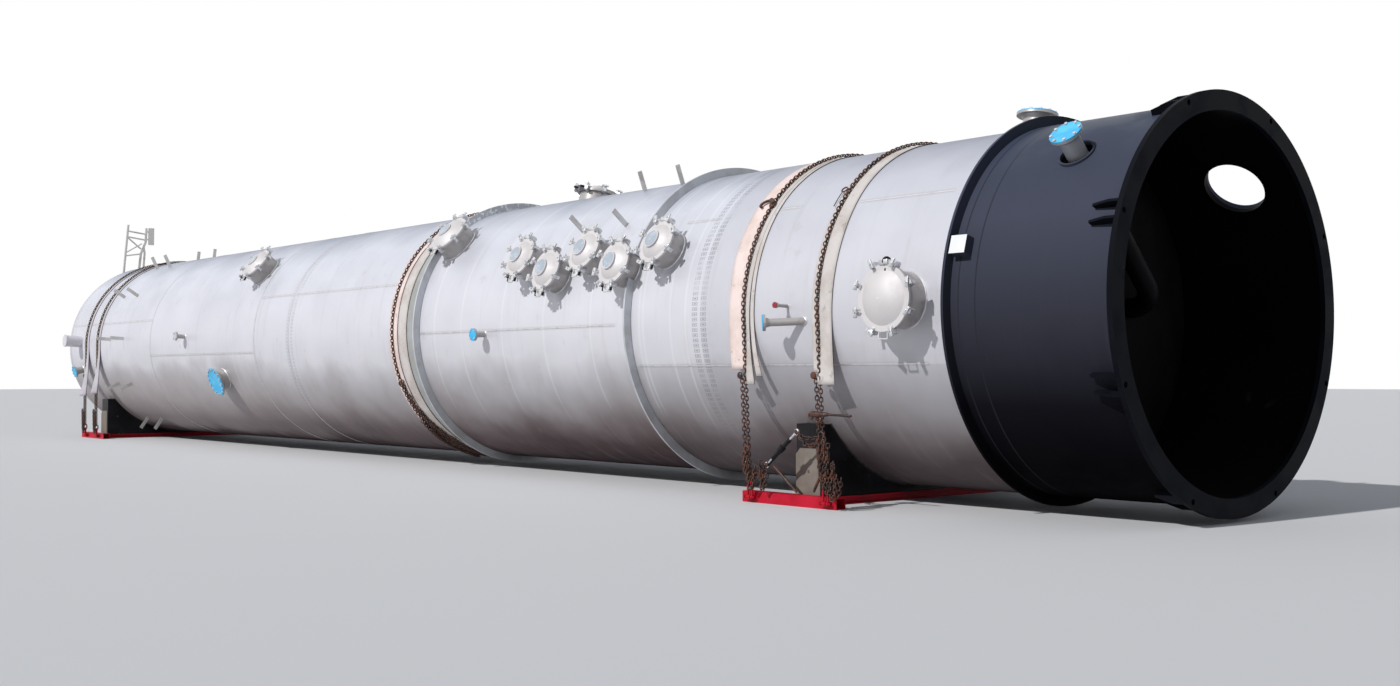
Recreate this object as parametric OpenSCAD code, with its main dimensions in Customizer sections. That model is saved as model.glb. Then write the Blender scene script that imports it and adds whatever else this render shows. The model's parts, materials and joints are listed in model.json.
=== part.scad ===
// Distillation column lying on two transport saddles, millimetres.
// The column axis runs along X with the base ring at +X. Stations are measured along the axis from
// the base ring's outer face, and angles around it from the -Y side upwards. Z = 0 is the floor.

/* [Shell] */
// Outside diameter of the shell and the skirt
shell_od = 4140; // [3900:20:4300]
// Wall thickness of the shell and its heads
shell_wall = 14; // [10:1:25]
// Station of the bottom tangent line, where the shell starts
bottom_tangent = 2016; // [1900:10:2150]
// Station of the stiffener ring nearer the skirt
ring_low_at = 7310; // [7100:10:7500]
// Station of the stiffener ring further from the skirt
ring_high_at = 12764; // [12600:10:12900]
// Station of the girth seam between the third and the fourth course
seam_mid_at = 19060; // [18700:10:19400]
// Station of the girth seam between the fourth and the fifth course
seam_high_at = 24530; // [24200:10:24900]
// Station of the top tangent line, where the top head starts
top_tangent = 29913; // [29850:10:30200]
// Crown radius of the top head
top_crown_r = 3726; // [3600:2:3900]
// Knuckle radius of the top head
top_knuckle_r = 704; // [650:2:760]

/* [Skirt] */
// Wall thickness of the skirt
skirt_wall = 22; // [16:1:30]
// Thickness of the ring plate round the skirt's top end
skirt_ring_t = 32; // [24:1:40]
// Height of that ring above the skirt
skirt_ring_rise = 114; // [90:2:130]
// Diameter of the access opening in the skirt
access_d = 720; // [600:10:800]
// Station of the access opening
access_at = 760; // [700:10:900]
// Angle of the access opening
access_angle = 136; // [125:1:150]
// Length of the collar round the access opening
access_collar = 120; // [80:5:160]

/* [Base ring] */
// Reach of the base ring outside the skirt
base_lip = 112; // [90:2:140]
// Reach of the base ring inside the skirt's wall
base_inner_lip = 73; // [50:1:100]
// Thickness of the base ring
base_t = 55; // [40:1:70]
// Number of anchor bolts
bolt_count = 8; // [6:2:12]
// Distance of the anchor bolt circle from the skirt
bolt_out = 56; // [50:1:66]
// Diameter of the anchor bolt holes
bolt_hole = 62; // [50:1:70]
// Height of the bolt chairs above the base ring
chair_h = 310; // [250:5:360]
// Clear width between the two gussets of a chair
chair_gap = 150; // [120:5:180]
// Thickness of the gussets and the chair plates
chair_t = 28; // [20:1:36]

/* [Stiffener rings] */
// Height of the stiffener rings above the shell
ring_rise = 114; // [90:2:130]
// Thickness of the stiffener rings' web
ring_t = 32; // [24:1:40]

/* [Manways] */
// Station of the lower manway
low_manway_at = 2600; // [2550:10:2650]
// Angle of the lower manway
low_manway_angle = 2; // [0:0.5:4]
// Station of the first tray manway
manway_first_at = 6720; // [6650:10:6760]
// Distance from one tray manway to the next
manway_pitch = 779; // [762:1:800]
// Number of tray manways in the row
manway_row = 5; // [1:1:5]
// Angle of the first, third and fifth tray manway
manway_high_angle = 25; // [24:0.5:27]
// Angle of the second and fourth tray manway
manway_low_angle = 19; // [18:0.5:20]
// Station of the manway beside the high ring
ring_manway_at = 12400; // [12380:5:12405]
// Station of the manway on the top side
top_manway_at = 11470; // [11300:10:11600]
// Station of the manway nearest the top head
far_manway_at = 19600; // [19500:10:19700]
// Outside diameter of the necks of the large manways
big_neck_od = 610; // [580:2:640]
// Reach of the lower manway's neck beyond the shell
low_neck_reach = 310; // [280:5:340]
// Reach of the other large manways' necks beyond the shell
big_neck_reach = 250; // [220:5:280]
// Outside diameter of the necks of the tray manways
neck_od = 508; // [480:2:530]
// Reach of the tray manways' necks beyond the shell
neck_reach = 240; // [220:5:270]
// Wall thickness of the manway necks
neck_wall = 12; // [8:1:16]
// Width of the neck flange all round
flange_w = 50; // [40:1:56]
// Thickness of the neck flange
flange_t = 30; // [22:1:38]
// Thickness of the cover's rim
cover_rim_t = 26; // [18:1:34]
// Rise of the dished cover above its rim
cover_dish = 88; // [60:2:100]
// Thickness of the dished plate
cover_wall = 10; // [6:1:14]
// Number of clamps on a manway
clamp_count = 8; // [6:1:10]
// Width of a clamp
clamp_w = 46; // [36:1:56]
// Reach of a clamp beyond the rims
clamp_reach = 56; // [46:1:66]
// Thickness of a clamp's jaws
clamp_jaw = 22; // [16:1:28]
// Diameter of a clamp's bolt
clamp_bolt = 22; // [16:1:26]
// Width across the corners of a clamp's nut
clamp_nut = 44; // [36:1:46]
// Diameter of the bar of a cover's handle
handle_bar = 16; // [12:1:20]
// Width of a cover's handle
handle_w = 120; // [100:2:150]
// Reach of a cover's handle beyond the rim
handle_reach = 74; // [60:2:90]
// Outside diameter of the sight port on a cover
port_od = 250; // [240:2:270]
// Height of the sight port above the top of the dish
port_h = 4; // [2:1:10]
// Diameter of the glass in a sight port
glass_d = 222; // [210:2:230]
// Thickness of that glass
glass_t = 12; // [8:1:14]

/* [Nozzles] */
// Station of the large nozzle on the top side
top_nozzle_at = 2620; // [2550:10:2700]
// Reach of that nozzle beyond the shell
top_nozzle_reach = 290; // [250:5:330]
// Reach of the bottom outlet beyond the skirt
outlet_reach = 270; // [240:5:300]
// Station of the large nozzle low on the shell
large_nozzle_at = 20760; // [20650:10:20850]
// Reach of the nozzles near the level line beyond the shell
side_nozzle_reach = 205; // [180:5:240]
// Station of the angled instrument nozzle
instrument_at = 4120; // [4110:2:4130]
// Station of the small capped stub
stub_at = 4365; // [4320:5:4410]
// Station of the nozzle beyond the tray manways
side_nozzle_at = 10830; // [10750:10:10900]
// Station of the nozzle on the fourth course
far_nozzle_at = 22513; // [22450:1:22600]
// Distance of the last nozzle from the top tangent line
head_nozzle_back = 683; // [660:1:700]
// Wall thickness of the nozzle pipes
pipe_wall = 9; // [6:1:12]
// Thickness of the nozzles' flanges
nozzle_flange_t = 24; // [18:1:30]
// Height of the tapered hub behind a flange
hub_h = 52; // [40:1:60]
// Length of the angled instrument nozzle beyond the shell
instrument_reach = 455; // [420:5:480]
// Angle by which it leans towards the top head
instrument_tilt = 40; // [35:1:45]
// Reach of the lifting trunnions beyond the shell
trunnion_reach = 385; // [340:5:430]
// Thickness of the temporary flange covers
blank_t = 12; // [8:1:16]
// Clearance between a pipe and the sleeve or hole that it passes through
sleeve_gap = 64; // [50:1:76]
// Bend radius of the bottom outlet
outlet_bend = 329; // [300:1:340]
// Gap at a notch that lets a ring pass a manway neck
notch_gap = 8; // [4:1:12]

/* [Transport saddles] */
// Station of the front saddle's middle
front_saddle_at = 4400; // [4200:10:4600]
// Distance of the rear saddle's middle from the top tangent line
rear_saddle_back = 1613; // [1500:10:1700]
// Width of a saddle along the column
saddle_w = 600; // [560:10:640]
// Thickness of the lining between the shell and a saddle
lining_t = 20; // [12:1:28]
// Thickness of the saddle's webs and of its wear plate
saddle_plate_t = 30; // [20:1:30]
// Angle below level at which a saddle's arms end
saddle_arm_angle = 38; // [34:1:44]
// Reach of a saddle's arms beyond the shell
saddle_arm_reach = 150; // [120:5:180]
// Depth of the saddle below the shell's lowest line
saddle_seat = 60; // [60:1:80]
// Number of ribs on each side between a saddle's webs
saddle_rib_count = 3; // [2:1:4]
// Thickness of the ribs
saddle_rib_t = 20; // [14:1:26]
// Width of the plate on a saddle's end
end_plate_w = 390; // [340:5:420]
// Height of the plate on a saddle's end
end_plate_h = 560; // [500:5:600]
// Cut corner of that plate
end_plate_corner = 70; // [40:5:100]
// Thickness of that plate
end_plate_t = 24; // [16:1:30]

/* [Bolsters] */
// Station of the front bolster's middle
front_bolster_at = 4390; // [4360:5:4400]
// Height of the cross beams under a saddle
cross_beam_h = 94; // [90:1:110]
// Width of the cross beams
cross_beam_w = 120; // [100:2:140]
// Thickness of the cross beams' web and flanges
cross_beam_t = 12; // [8:1:16]
// Length of the side beams along the column
side_beam_l = 1540; // [1520:10:1600]
// Height of the side beams
side_beam_h = 130; // [110:2:150]
// Width of the side beams
side_beam_w = 150; // [120:2:170]
// Wall thickness of the side beams
side_beam_wall = 10; // [6:1:14]
// Clearance between the chains' line and the side beams
chain_clear = 50; // [46:1:60]

/* [Tie-downs] */
// Overall width of the chains
chain_d = 46; // [40:1:52]
// Station of the front chain that is nearer the skirt, where it lies on the shell
near_chain_at = 3868; // [3830:2:3900]
// Distance from that chain to the other front chain
front_chain_pitch = 1222; // [1180:2:1240]
// How far the nearer chain leans towards the skirt on its way down
near_lean = 130; // [100:5:160]
// How far the other front chain leans
far_lean = 115; // [40:5:140]
// Distance from the rear saddle's middle to the rear chains
rear_chain_off = 398; // [380:2:420]
// How far the rear chains lean
rear_lean = 40; // [20:5:60]
// Diameter of the shackles' bar
shackle_bar = 26; // [20:1:30]
// Width between the legs of a shackle
shackle_gap = 46; // [40:1:52]
// Length of a shackle's straight legs
shackle_leg = 136; // [110:2:150]
// Diameter of a shackle's pin
pin_d = 30; // [26:1:34]
// Diameter of the eyes at a shackle's leg ends and across the corners of the pin's head
eye_d = 48; // [44:1:52]
// Clearance of the pin in its lug
pin_play = 2; // [1:0.5:3]
// Thickness of the lugs that hold the shackles
lug_t = 30; // [24:1:36]
// Width of the pads under the rear chains
pad_w = 300; // [240:10:340]
// Width of the pad under the nearer front chain
near_pad_w = 320; // [300:10:360]
// Distance from that chain to the middle of its pad, towards the skirt
near_pad_off = 65; // [40:5:80]
// Width of the pad under the other front chain
far_pad_w = 440; // [400:10:480]
// Distance from that chain to the middle of its pad, towards the top head
far_pad_off = 60; // [10:5:80]
// Thickness of the pads
pad_t = 10; // [6:1:14]
// Length of the pads' hanging ends
pad_tail = 830; // [700:10:900]
// Station of the chain that goes right round the shell
girth_chain_at = 13590; // [13560:10:13650]
// Width of the belts under that chain
girth_belt_w = 270; // [240:5:290]
// Number of belts side by side there
girth_belt_count = 3; // [1:1:3]
// Distance from one of these belts to the next
girth_belt_pitch = 295; // [292:1:300]

/* [Hidden] */

$fn = 96;
// Sides of the large round shapes that others are cut to
fine = 720;
// Overlap of a cutting shape past the face that it cuts
cut = 5;
shell_r = shell_od / 2;
shell_in = shell_r - shell_wall;
base_out_r = shell_r + base_lip;
base_in_r = shell_r - skirt_wall - base_inner_lip;
bolt_circle = shell_od + 2 * bolt_out;
// A head is [crown radius, knuckle radius]. The bottom head's crown is the shell's diameter and its
// knuckle a tenth of that, which is the usual shallow head.
top_dish = [top_crown_r, top_knuckle_r];
bottom_dish = [shell_od, shell_od / 10];
top_depth = dish_depth(top_dish);
bottom_depth = dish_depth(bottom_dish);
vapour_reach = 260;
vapour_flange_t = 45;
column_len = top_tangent + top_depth + vapour_reach + blank_t;
x_base = column_len / 2;
axis_z = cross_beam_h + saddle_seat + shell_r;
trunnion_at = top_tangent - 713;
trunnion_angle = 3;
trunnion_d = 273;
trunnion_wall = 16;
trunnion_cap_d = 300;
trunnion_cap_t = 25;
// The whole column's box is centred: its -Y side ends at the lower manway's cover, its +Y side at
// the upper edge of a trunnion's cap
front_reach = (shell_r + low_neck_reach + cover_rim_t + cover_dish) * cos(low_manway_angle);
back_reach = (shell_r + trunnion_reach) * cos(trunnion_angle) + trunnion_cap_d / 2 * sin(trunnion_angle);
axis_y = (front_reach - back_reach) / 2;
rear_saddle_at = top_tangent - rear_saddle_back;

// Share of a flange's overhang that the wide end of its hub takes
hub_spread = 0.3;
// Gap left where one piece rests on another
seat_gap = 0.3;
// How far necks and pipes run on inside the shell
inner_reach = 60;
// How far a piece is drawn into the shell before it is cut to the shell's round
foot = 30;
// A chair's gusset is this share of its height at its outer edge, and of its depth along its top
chair_edge = 0.35;
chair_top = 0.62;
// Where a clamp's chamfers start, as a share of its reach, and its play behind the rims
clamp_slope = 0.7;
rim_play = 1;
// How much thicker a shackle's eye is than its bar
eye_more = 4;

// Manways: [station, angle, neck outside diameter, reach beyond the shell]
lower_manway = [low_manway_at, low_manway_angle, big_neck_od, low_neck_reach];
tray_manways = concat(
    [for (i = [0 : manway_row - 1])
        [manway_first_at + i * manway_pitch, i % 2 == 0 ? manway_high_angle : manway_low_angle,
         neck_od, neck_reach]],
    [[ring_manway_at, 41, big_neck_od, big_neck_reach],
     [top_manway_at, 103, big_neck_od, big_neck_reach],
     [far_manway_at, 39.5, big_neck_od, big_neck_reach]]
);

// The bottom outlet leaves the bottom head on the axis and turns at this distance below it
outlet_stub = 15;

// Standard pipes with their flanges: [outside diameter, flange diameter]
pipe_24in = [610, 813];
pipe_16in = [406, 597];
pipe_12in = [324, 483];
pipe_8in = [219, 343];
pipe_6in = [168, 279];
pipe_3in = [89, 190];
capped_stub = [42, 70];

// A nozzle is [station, angle, pipe outside diameter, flange diameter, reach beyond the shell, tilt]
function nozzle_place(s, angle, size, reach, tilt = 0) = [s, angle, size[0], size[1], reach, tilt];
function tilt_of(place) = len(place) > 5 ? place[5] : 0;

skirt_nozzle_place =
    nozzle_place(bottom_tangent - bottom_depth - outlet_stub - outlet_bend, 46, pipe_8in, outlet_reach);
top_nozzle_place = nozzle_place(top_nozzle_at, 98, pipe_12in, top_nozzle_reach);
large_nozzle_place = nozzle_place(large_nozzle_at, -22, pipe_16in, side_nozzle_reach);
small_nozzle_places = [
    nozzle_place(side_nozzle_at, -3, pipe_3in, side_nozzle_reach),
    nozzle_place(instrument_at, -3, pipe_3in, instrument_reach, instrument_tilt),
    nozzle_place(stub_at, 2, capped_stub, side_nozzle_reach),
    nozzle_place(far_nozzle_at, 2.6, pipe_3in, side_nozzle_reach),
    nozzle_place(top_tangent - head_nozzle_back, -16, pipe_6in, side_nozzle_reach)
];

// Where the clips stand, as [station, angle]: some near the low ring, the others near the top head
clip_places = [
    [9010, 40], [8011, 40], [8657, 69], [7809, 69],
    [top_tangent - 2800, 33], [top_tangent - 3660, 33],
    [top_tangent - 2830, 3.5], [top_tangent - 3695, 3.5],
    [top_tangent - 2850, -26], [top_tangent - 3710, -26],
    [top_tangent - 2810, -56], [top_tangent - 3720, -56],
    [top_tangent - 2613, 64], [top_tangent - 3430, 64],
    [top_tangent - 2263, 96], [top_tangent - 3263, 96]
];
clip_len = 300;
clip_w = 76;
clip_t = 12;

plate_at = 1855;
plate_angle = 16.4;
plate_l = 200;
plate_w = 195;
plate_rise = 114;
plate_t = 4;
bracket_t = 8;

// The light frame on the top head: bars of this width between points that are measured
// across the column and above its axis
frame_at = top_tangent + 390;
frame_t = 50;
frame_bars = [
    [[-720, 1500], [-580, shell_r + 1110], 45],
    [[-350, 1500], [-250, shell_r + 380], 50],
    [[-250, shell_r + 380], [-130, shell_r + 690], 50],
    [[-130, shell_r + 690], [-115, shell_r + 1050], 50],
    [[-215, 1500], [-155, shell_r + 400], 40],
    [[-155, shell_r + 400], [-180, shell_r + 560], 40],
    [[-600, shell_r + 950], [-115, shell_r + 890], 34],
    [[-615, shell_r + 800], [-125, shell_r + 740], 34],
    [[-660, shell_r + 300], [-260, shell_r + 370], 34],
    [[-615, shell_r + 800], [-250, shell_r + 500], 26],
    [[-640, shell_r + 380], [-230, shell_r + 640], 26],
    [[-120, shell_r + 760], [-50, shell_r + 760], 34],
    [[-118, shell_r + 960], [-50, shell_r + 960], 34]
];
frame_plate = [[-60, shell_r + 620], [140, 440]];

// Chains: [station on the shell, how far it leans towards the skirt on its way down]
front_chain_places = [[near_chain_at, near_lean], [near_chain_at + front_chain_pitch, far_lean]];
rear_chain_places =
    [[rear_saddle_at - rear_chain_off, rear_lean], [rear_saddle_at + rear_chain_off, rear_lean]];
// Distance of a chain's hanging part from the column's middle plane
chain_run = shell_r + pad_t + chain_d / 2;
side_beam_y = chain_run - chain_clear - side_beam_w;
// Height of the shackles' pins: each is pulled up in its lug
lug_z = side_beam_h / 2;
shackle_z = lug_z + pin_play / 2 - seat_gap;
shackle_top = shackle_z + shackle_leg + shackle_gap / 2 + shackle_bar;

// Station to X
function sx(s) = x_base - s;

// How far a dished head's crown circle is centred behind its tangent plane
function crown_back(dish) =
    sqrt(pow(dish[0] - dish[1], 2) - pow(shell_r - dish[1], 2));

// Depth of a dished head beyond its tangent plane
function dish_depth(dish) = dish[0] - crown_back(dish);

// Radius of a manway's flange and of its cover
function rim_r(place) = place[2] / 2 + flange_w;

// Children are drawn along the column: their Z axis points towards the top head from station s.
module along(s) {
    translate([sx(s), axis_y, axis_z])
        rotate([0, -90, 0])
            children();
}

// Children stand on the column's axis at station s with their Z axis pointing out at that angle.
module radial(s, angle) {
    translate([sx(s), axis_y, axis_z])
        rotate([90 - angle, 0, 0])
            children();
}

// As radial, with the children leaning towards the top head about the point on the shell's surface
module tilted(place) {
    radial(place[0], place[1])
        translate([0, 0, shell_r])
            rotate([0, -tilt_of(place), 0])
                translate([0, 0, -shell_r])
                    children();
}

module pipe(h, d_out, wall) {
    difference() {
        cylinder(h = h, d = d_out);
        translate([0, 0, -cut])
            cylinder(h = h + 2 * cut, d = d_out - 2 * wall);
    }
}

module ring(h, r_out, r_in) {
    difference() {
        cylinder(h = h, r = r_out);
        translate([0, 0, -cut])
            cylinder(h = h + 2 * cut, r = r_in);
    }
}

// Removes the opening for a neck or pipe that passes through the shell
module bore_through(place) {
    tilted(place)
        translate([0, 0, shell_r / 2])
            cylinder(h = shell_r, d = place[2]);
}

// One rolled course of the shell between two stations
module course(from, to) {
    color("gainsboro")
        difference() {
            along(from)
                ring(to - from, shell_r, shell_in);
            for (place = concat([lower_manway, top_nozzle_place, large_nozzle_place],
                                tray_manways, small_nozzle_places))
                if (place[0] > from - place[2] && place[0] < to + place[2])
                    bore_through(place);
        }
}

// Half of a dished end's outline: a crown arc that runs into a knuckle arc
module dish_outline(dish, shrink) {
    off = shell_r - dish[1];
    back = crown_back(dish);
    line = shell_r / (dish[0] - dish[1]);
    intersection() {
        translate([0, -back])
            circle(r = dish[0] - shrink, $fn = 360);
        polygon([[0, 0], [off, 0], [off + line * off, line * back], [0, line * back]]);
    }
    intersection() {
        translate([off, 0])
            circle(r = dish[1] - shrink, $fn = 180);
        square([shell_od, shell_od]);
    }
}

module dished_head(dish) {
    rotate_extrude()
        difference() {
            dish_outline(dish, 0);
            dish_outline(dish, shell_wall);
        }
}

// The space that a head fills, to shape what is welded round it
module dish_body(dish) {
    rotate_extrude($fn = fine)
        dish_outline(dish, 0);
}

module top_head() {
    color("gainsboro")
        difference() {
            along(top_tangent)
                dished_head(top_dish);
            along(top_tangent)
                cylinder(h = shell_od, d = pipe_24in[0]);
        }
}

module bottom_head() {
    color("gainsboro")
        difference() {
            along(bottom_tangent)
                mirror([0, 0, 1])
                    dished_head(bottom_dish);
            along(0)
                cylinder(h = bottom_tangent, d = skirt_nozzle_place[2]);
        }
}

// One rolled plate of the skirt, from one angle to another
module skirt_plate(from, to) {
    color([0.2, 0.2, 0.22])
        difference() {
            along(base_t)
                rotate([0, 0, from - 90])
                    rotate_extrude(angle = to - from)
                        translate([shell_r - skirt_wall, 0])
                            square([skirt_wall, bottom_tangent - base_t]);
            along(bottom_tangent)
                mirror([0, 0, 1])
                    dish_body(bottom_dish);
            radial(access_at, access_angle)
                cylinder(h = shell_od, d = access_d);
            radial(skirt_nozzle_place[0], skirt_nozzle_place[1])
                cylinder(h = shell_od, d = sleeve_od());
        }
}

module skirt_front() skirt_plate(-40, 80);
module skirt_rear() skirt_plate(80, 200);
module skirt_under() skirt_plate(200, 320);

module skirt_top_ring() {
    color([0.12, 0.12, 0.13])
        along(bottom_tangent - skirt_ring_t)
            ring(skirt_ring_t, shell_r + skirt_ring_rise, shell_r);
}

module base_ring() {
    color([0.15, 0.15, 0.16])
        difference() {
            along(0)
                ring(base_t, base_out_r, base_in_r);
            for (i = [0 : bolt_count - 1])
                along(0)
                    rotate([0, 0, (i + 0.5) * 360 / bolt_count])
                        translate([bolt_circle / 2, 0, -cut])
                            cylinder(h = base_t + 2 * cut, d = bolt_hole);
        }
}

// A bolt chair: two tapered gussets, one on each side of a bolt
module chair() {
    chair_in = shell_r - foot;
    gusset_depth = base_out_r - chair_in;
    for (side = [-1, 1])
        translate([chair_in, side * (chair_gap + chair_t) / 2 + chair_t / 2, 0])
            rotate([90, 0, 0])
                linear_extrude(chair_t)
                    polygon([[0, 0], [gusset_depth, 0], [gusset_depth, chair_h * chair_edge],
                             [gusset_depth * chair_top, chair_h], [0, chair_h]]);
}

module anchor_chairs() {
    color([0.15, 0.15, 0.16])
        along(base_t)
            difference() {
                for (i = [0 : bolt_count - 1])
                    rotate([0, 0, (i + 0.5) * 360 / bolt_count])
                        chair();
                translate([0, 0, -cut])
                    cylinder(h = chair_h + 2 * cut, r = shell_r, $fn = fine);
            }
}

// Cut-out that keeps a ring clear of a manway neck
module neck_notch(place) {
    radial(place[0], place[1])
        translate([0, 0, shell_r / 2])
            cylinder(h = shell_r, d = place[2] + 2 * notch_gap);
}

module stiffener_ring(at) {
    color("silver")
        difference() {
            along(at - ring_t / 2)
                ring(ring_t, shell_r + ring_rise, shell_r);
            for (place = tray_manways)
                neck_notch(place);
        }
}

module stiffener_ring_low() stiffener_ring(ring_low_at);
module stiffener_ring_high() stiffener_ring(ring_high_at);

// The neck of a manway with the flange that its cover closes on
module manway_neck(place) {
    root = shell_in - inner_reach;
    face = shell_r + place[3];
    radial(place[0], place[1])
        difference() {
            union() {
                translate([0, 0, root])
                    cylinder(h = face - root, d = place[2]);
                translate([0, 0, face - flange_t])
                    cylinder(h = flange_t, r = rim_r(place));
            }
            translate([0, 0, root - cut])
                cylinder(h = face - root + 2 * cut, d = place[2] - 2 * neck_wall);
        }
}

// Half of a dished cover's section: a flat rim and a thin crown, with z = 0 on its joint face
module cover_outline(place) {
    dish_r = place[2] / 2 - neck_wall;
    crown = (dish_r * dish_r + cover_dish * cover_dish) / (2 * cover_dish);
    top = cover_rim_t + cover_dish;
    difference() {
        union() {
            square([rim_r(place), cover_rim_t]);
            intersection() {
                translate([0, top - crown])
                    circle(r = crown, $fn = 180);
                square([dish_r, top]);
            }
        }
        intersection() {
            translate([0, top - crown])
                circle(r = crown - cover_wall, $fn = 180);
            translate([-cut, -cut])
                square([dish_r - 2 * cover_wall + cut, top]);
        }
    }
}

// The bent bar by which a cover is swung: two legs and a cross bar under the rim
module cover_handle(place) {
    start = rim_r(place) - cut;
    leg = handle_reach + cut;
    translate([0, -start, cover_rim_t / 2]) {
        for (side = [-1, 1])
            translate([side * handle_w / 2, 0, 0])
                rotate([90, 0, 0])
                    cylinder(h = leg, d = handle_bar, $fn = 32);
        for (side = [-1, 1])
            translate([side * handle_w / 2, -leg, 0])
                sphere(d = handle_bar, $fn = 32);
        translate([-handle_w / 2, -leg, 0])
            rotate([0, 90, 0])
                cylinder(h = handle_w, d = handle_bar, $fn = 32);
    }
}

module plain_cover(place) {
    radial(place[0], place[1])
        translate([0, 0, shell_r + place[3]]) {
            rotate_extrude()
                cover_outline(place);
            cover_handle(place);
        }
}

// A cover with a sight port: a ring through the crown, with a seat for the glass
module port_cover(place) {
    top = cover_rim_t + cover_dish;
    seat_in = glass_d / 2 - cover_wall;
    radial(place[0], place[1])
        translate([0, 0, shell_r + place[3]]) {
            rotate_extrude()
                difference() {
                    union() {
                        cover_outline(place);
                        translate([0, top - foot])
                            square([port_od / 2, foot + port_h]);
                    }
                    translate([-cut, top - foot - cut])
                        square([seat_in + cut, foot + port_h + 2 * cut]);
                    translate([0, top + port_h - glass_t])
                        square([glass_d / 2, glass_t + cut]);
                }
            cover_handle(place);
        }
}

module sight_glass(place) {
    radial(place[0], place[1])
        translate([0, 0, shell_r + place[3] + cover_rim_t + cover_dish + port_h - glass_t])
            cylinder(h = glass_t, d = glass_d);
}

// One clamp, seen along x from the manway's axis: jaws that grip both rims, a bolt and a nut
module clamp(place) {
    edge = rim_r(place);
    slope = edge + clamp_reach * clamp_slope;
    end = edge + clamp_reach;
    back = -flange_t - clamp_jaw;
    front = cover_rim_t + clamp_jaw;
    translate([0, clamp_w / 2, 0])
        rotate([90, 0, 0])
            linear_extrude(clamp_w)
                difference() {
                    polygon([[edge - clamp_jaw, back], [slope, back], [end, back + clamp_jaw],
                             [end, front - clamp_jaw], [slope, front], [edge - clamp_jaw, front]]);
                    translate([edge - 2 * clamp_jaw, -flange_t])
                        square([2 * clamp_jaw + rim_play, flange_t + cover_rim_t]);
                }
    translate([edge + clamp_reach / 2, 0, front]) {
        cylinder(h = clamp_bolt, d = clamp_nut, $fn = 6);
        cylinder(h = 2 * clamp_bolt, d = clamp_bolt, $fn = 32);
    }
}

module clamp_set(place) {
    radial(place[0], place[1])
        translate([0, 0, shell_r + place[3]])
            for (i = [0 : clamp_count - 1])
                rotate([0, 0, (i + 0.5) * 360 / clamp_count])
                    clamp(place);
}

module lower_manway_neck() color("silver") manway_neck(lower_manway);
module lower_manway_cover() color("gainsboro") plain_cover(lower_manway);
module lower_manway_clamps() color("silver") clamp_set(lower_manway);
module manway_necks() color("silver") for (place = tray_manways) manway_neck(place);
module manway_covers() color("gainsboro") for (place = tray_manways) port_cover(place);
module manway_clamps() color("silver") for (place = tray_manways) clamp_set(place);
module sight_glasses() color([0.5, 0.58, 0.62]) for (place = tray_manways) sight_glass(place);

// A flange with the tapered hub behind it, on a pipe whose end face is at height 0
module weld_neck(pipe_d, flange_d, thickness) {
    translate([0, 0, -thickness])
        cylinder(h = thickness, d = flange_d);
    translate([0, 0, -thickness - hub_h])
        cylinder(h = hub_h, d1 = pipe_d, d2 = pipe_d + (flange_d - pipe_d) * hub_spread);
}

// A flanged pipe nozzle that passes through the shell
module nozzle(place) {
    root = shell_in - inner_reach;
    face = shell_r + place[4];
    tilted(place)
        difference() {
            union() {
                translate([0, 0, root])
                    cylinder(h = face - root, d = place[2]);
                translate([0, 0, face])
                    weld_neck(place[2], place[3], nozzle_flange_t);
            }
            translate([0, 0, root - cut])
                cylinder(h = face - root + 2 * cut, d = place[2] - 2 * pipe_wall);
        }
}

module blank(place) {
    tilted(place)
        translate([0, 0, shell_r + place[4]])
            cylinder(h = blank_t, d = place[3]);
}

// The bottom outlet: out of the bottom head, round a bend and out through the skirt's sleeve
module skirt_nozzle() {
    place = skirt_nozzle_place;
    face = shell_r + place[4];
    color("silver")
        difference() {
            outlet_run(place[2], 0);
            outlet_run(place[2] - 2 * pipe_wall, cut);
        }
    color("silver")
        radial(place[0], place[1])
            translate([0, 0, face])
                difference() {
                    weld_neck(place[2], place[3], nozzle_flange_t);
                    translate([0, 0, -2 * hub_h])
                        cylinder(h = 3 * hub_h, d = place[2]);
                }
}

// The outlet's run at one diameter: stub, quarter bend and straight pipe
module outlet_run(d, past) {
    place = skirt_nozzle_place;
    face = shell_r + place[4];
    stub_end = bottom_tangent - bottom_depth + foot;
    radial(place[0], place[1])
        translate([0, 0, outlet_bend])
            cylinder(h = face - outlet_bend + past, d = d);
    radial(place[0], place[1])
        translate([-outlet_bend, 0, outlet_bend])
            rotate([90, 0, 0])
                rotate([0, 0, -90])
                    rotate_extrude(angle = 90)
                        translate([outlet_bend, 0])
                            circle(d = d);
    along(place[0] + outlet_bend)
        cylinder(h = stub_end - place[0] - outlet_bend + past, d = d);
}

function sleeve_bore() = skirt_nozzle_place[2] + 2 * sleeve_gap;
function sleeve_od() = sleeve_bore() + 2 * skirt_wall;

module skirt_sleeve() {
    sleeve_l = 110;
    color([0.15, 0.15, 0.16])
        radial(skirt_nozzle_place[0], skirt_nozzle_place[1])
            translate([0, 0, shell_r + skirt_wall - sleeve_l])
                ring(sleeve_l, sleeve_od() / 2, sleeve_bore() / 2);
}

module top_nozzle() color("silver") nozzle(top_nozzle_place);
module large_nozzle() color("silver") nozzle(large_nozzle_place);
module small_nozzles() color("silver") for (place = small_nozzle_places) nozzle(place);

module vapour_nozzle() {
    root = top_tangent + top_depth - inner_reach;
    face = top_tangent + top_depth + vapour_reach;
    color("silver")
        along(root)
            difference() {
                union() {
                    cylinder(h = face - root, d = pipe_24in[0]);
                    translate([0, 0, face - root])
                        weld_neck(pipe_24in[0], pipe_24in[1], vapour_flange_t);
                }
                translate([0, 0, -cut])
                    cylinder(h = face - root + 2 * cut, d = pipe_24in[0] - 2 * pipe_wall);
            }
}

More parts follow.
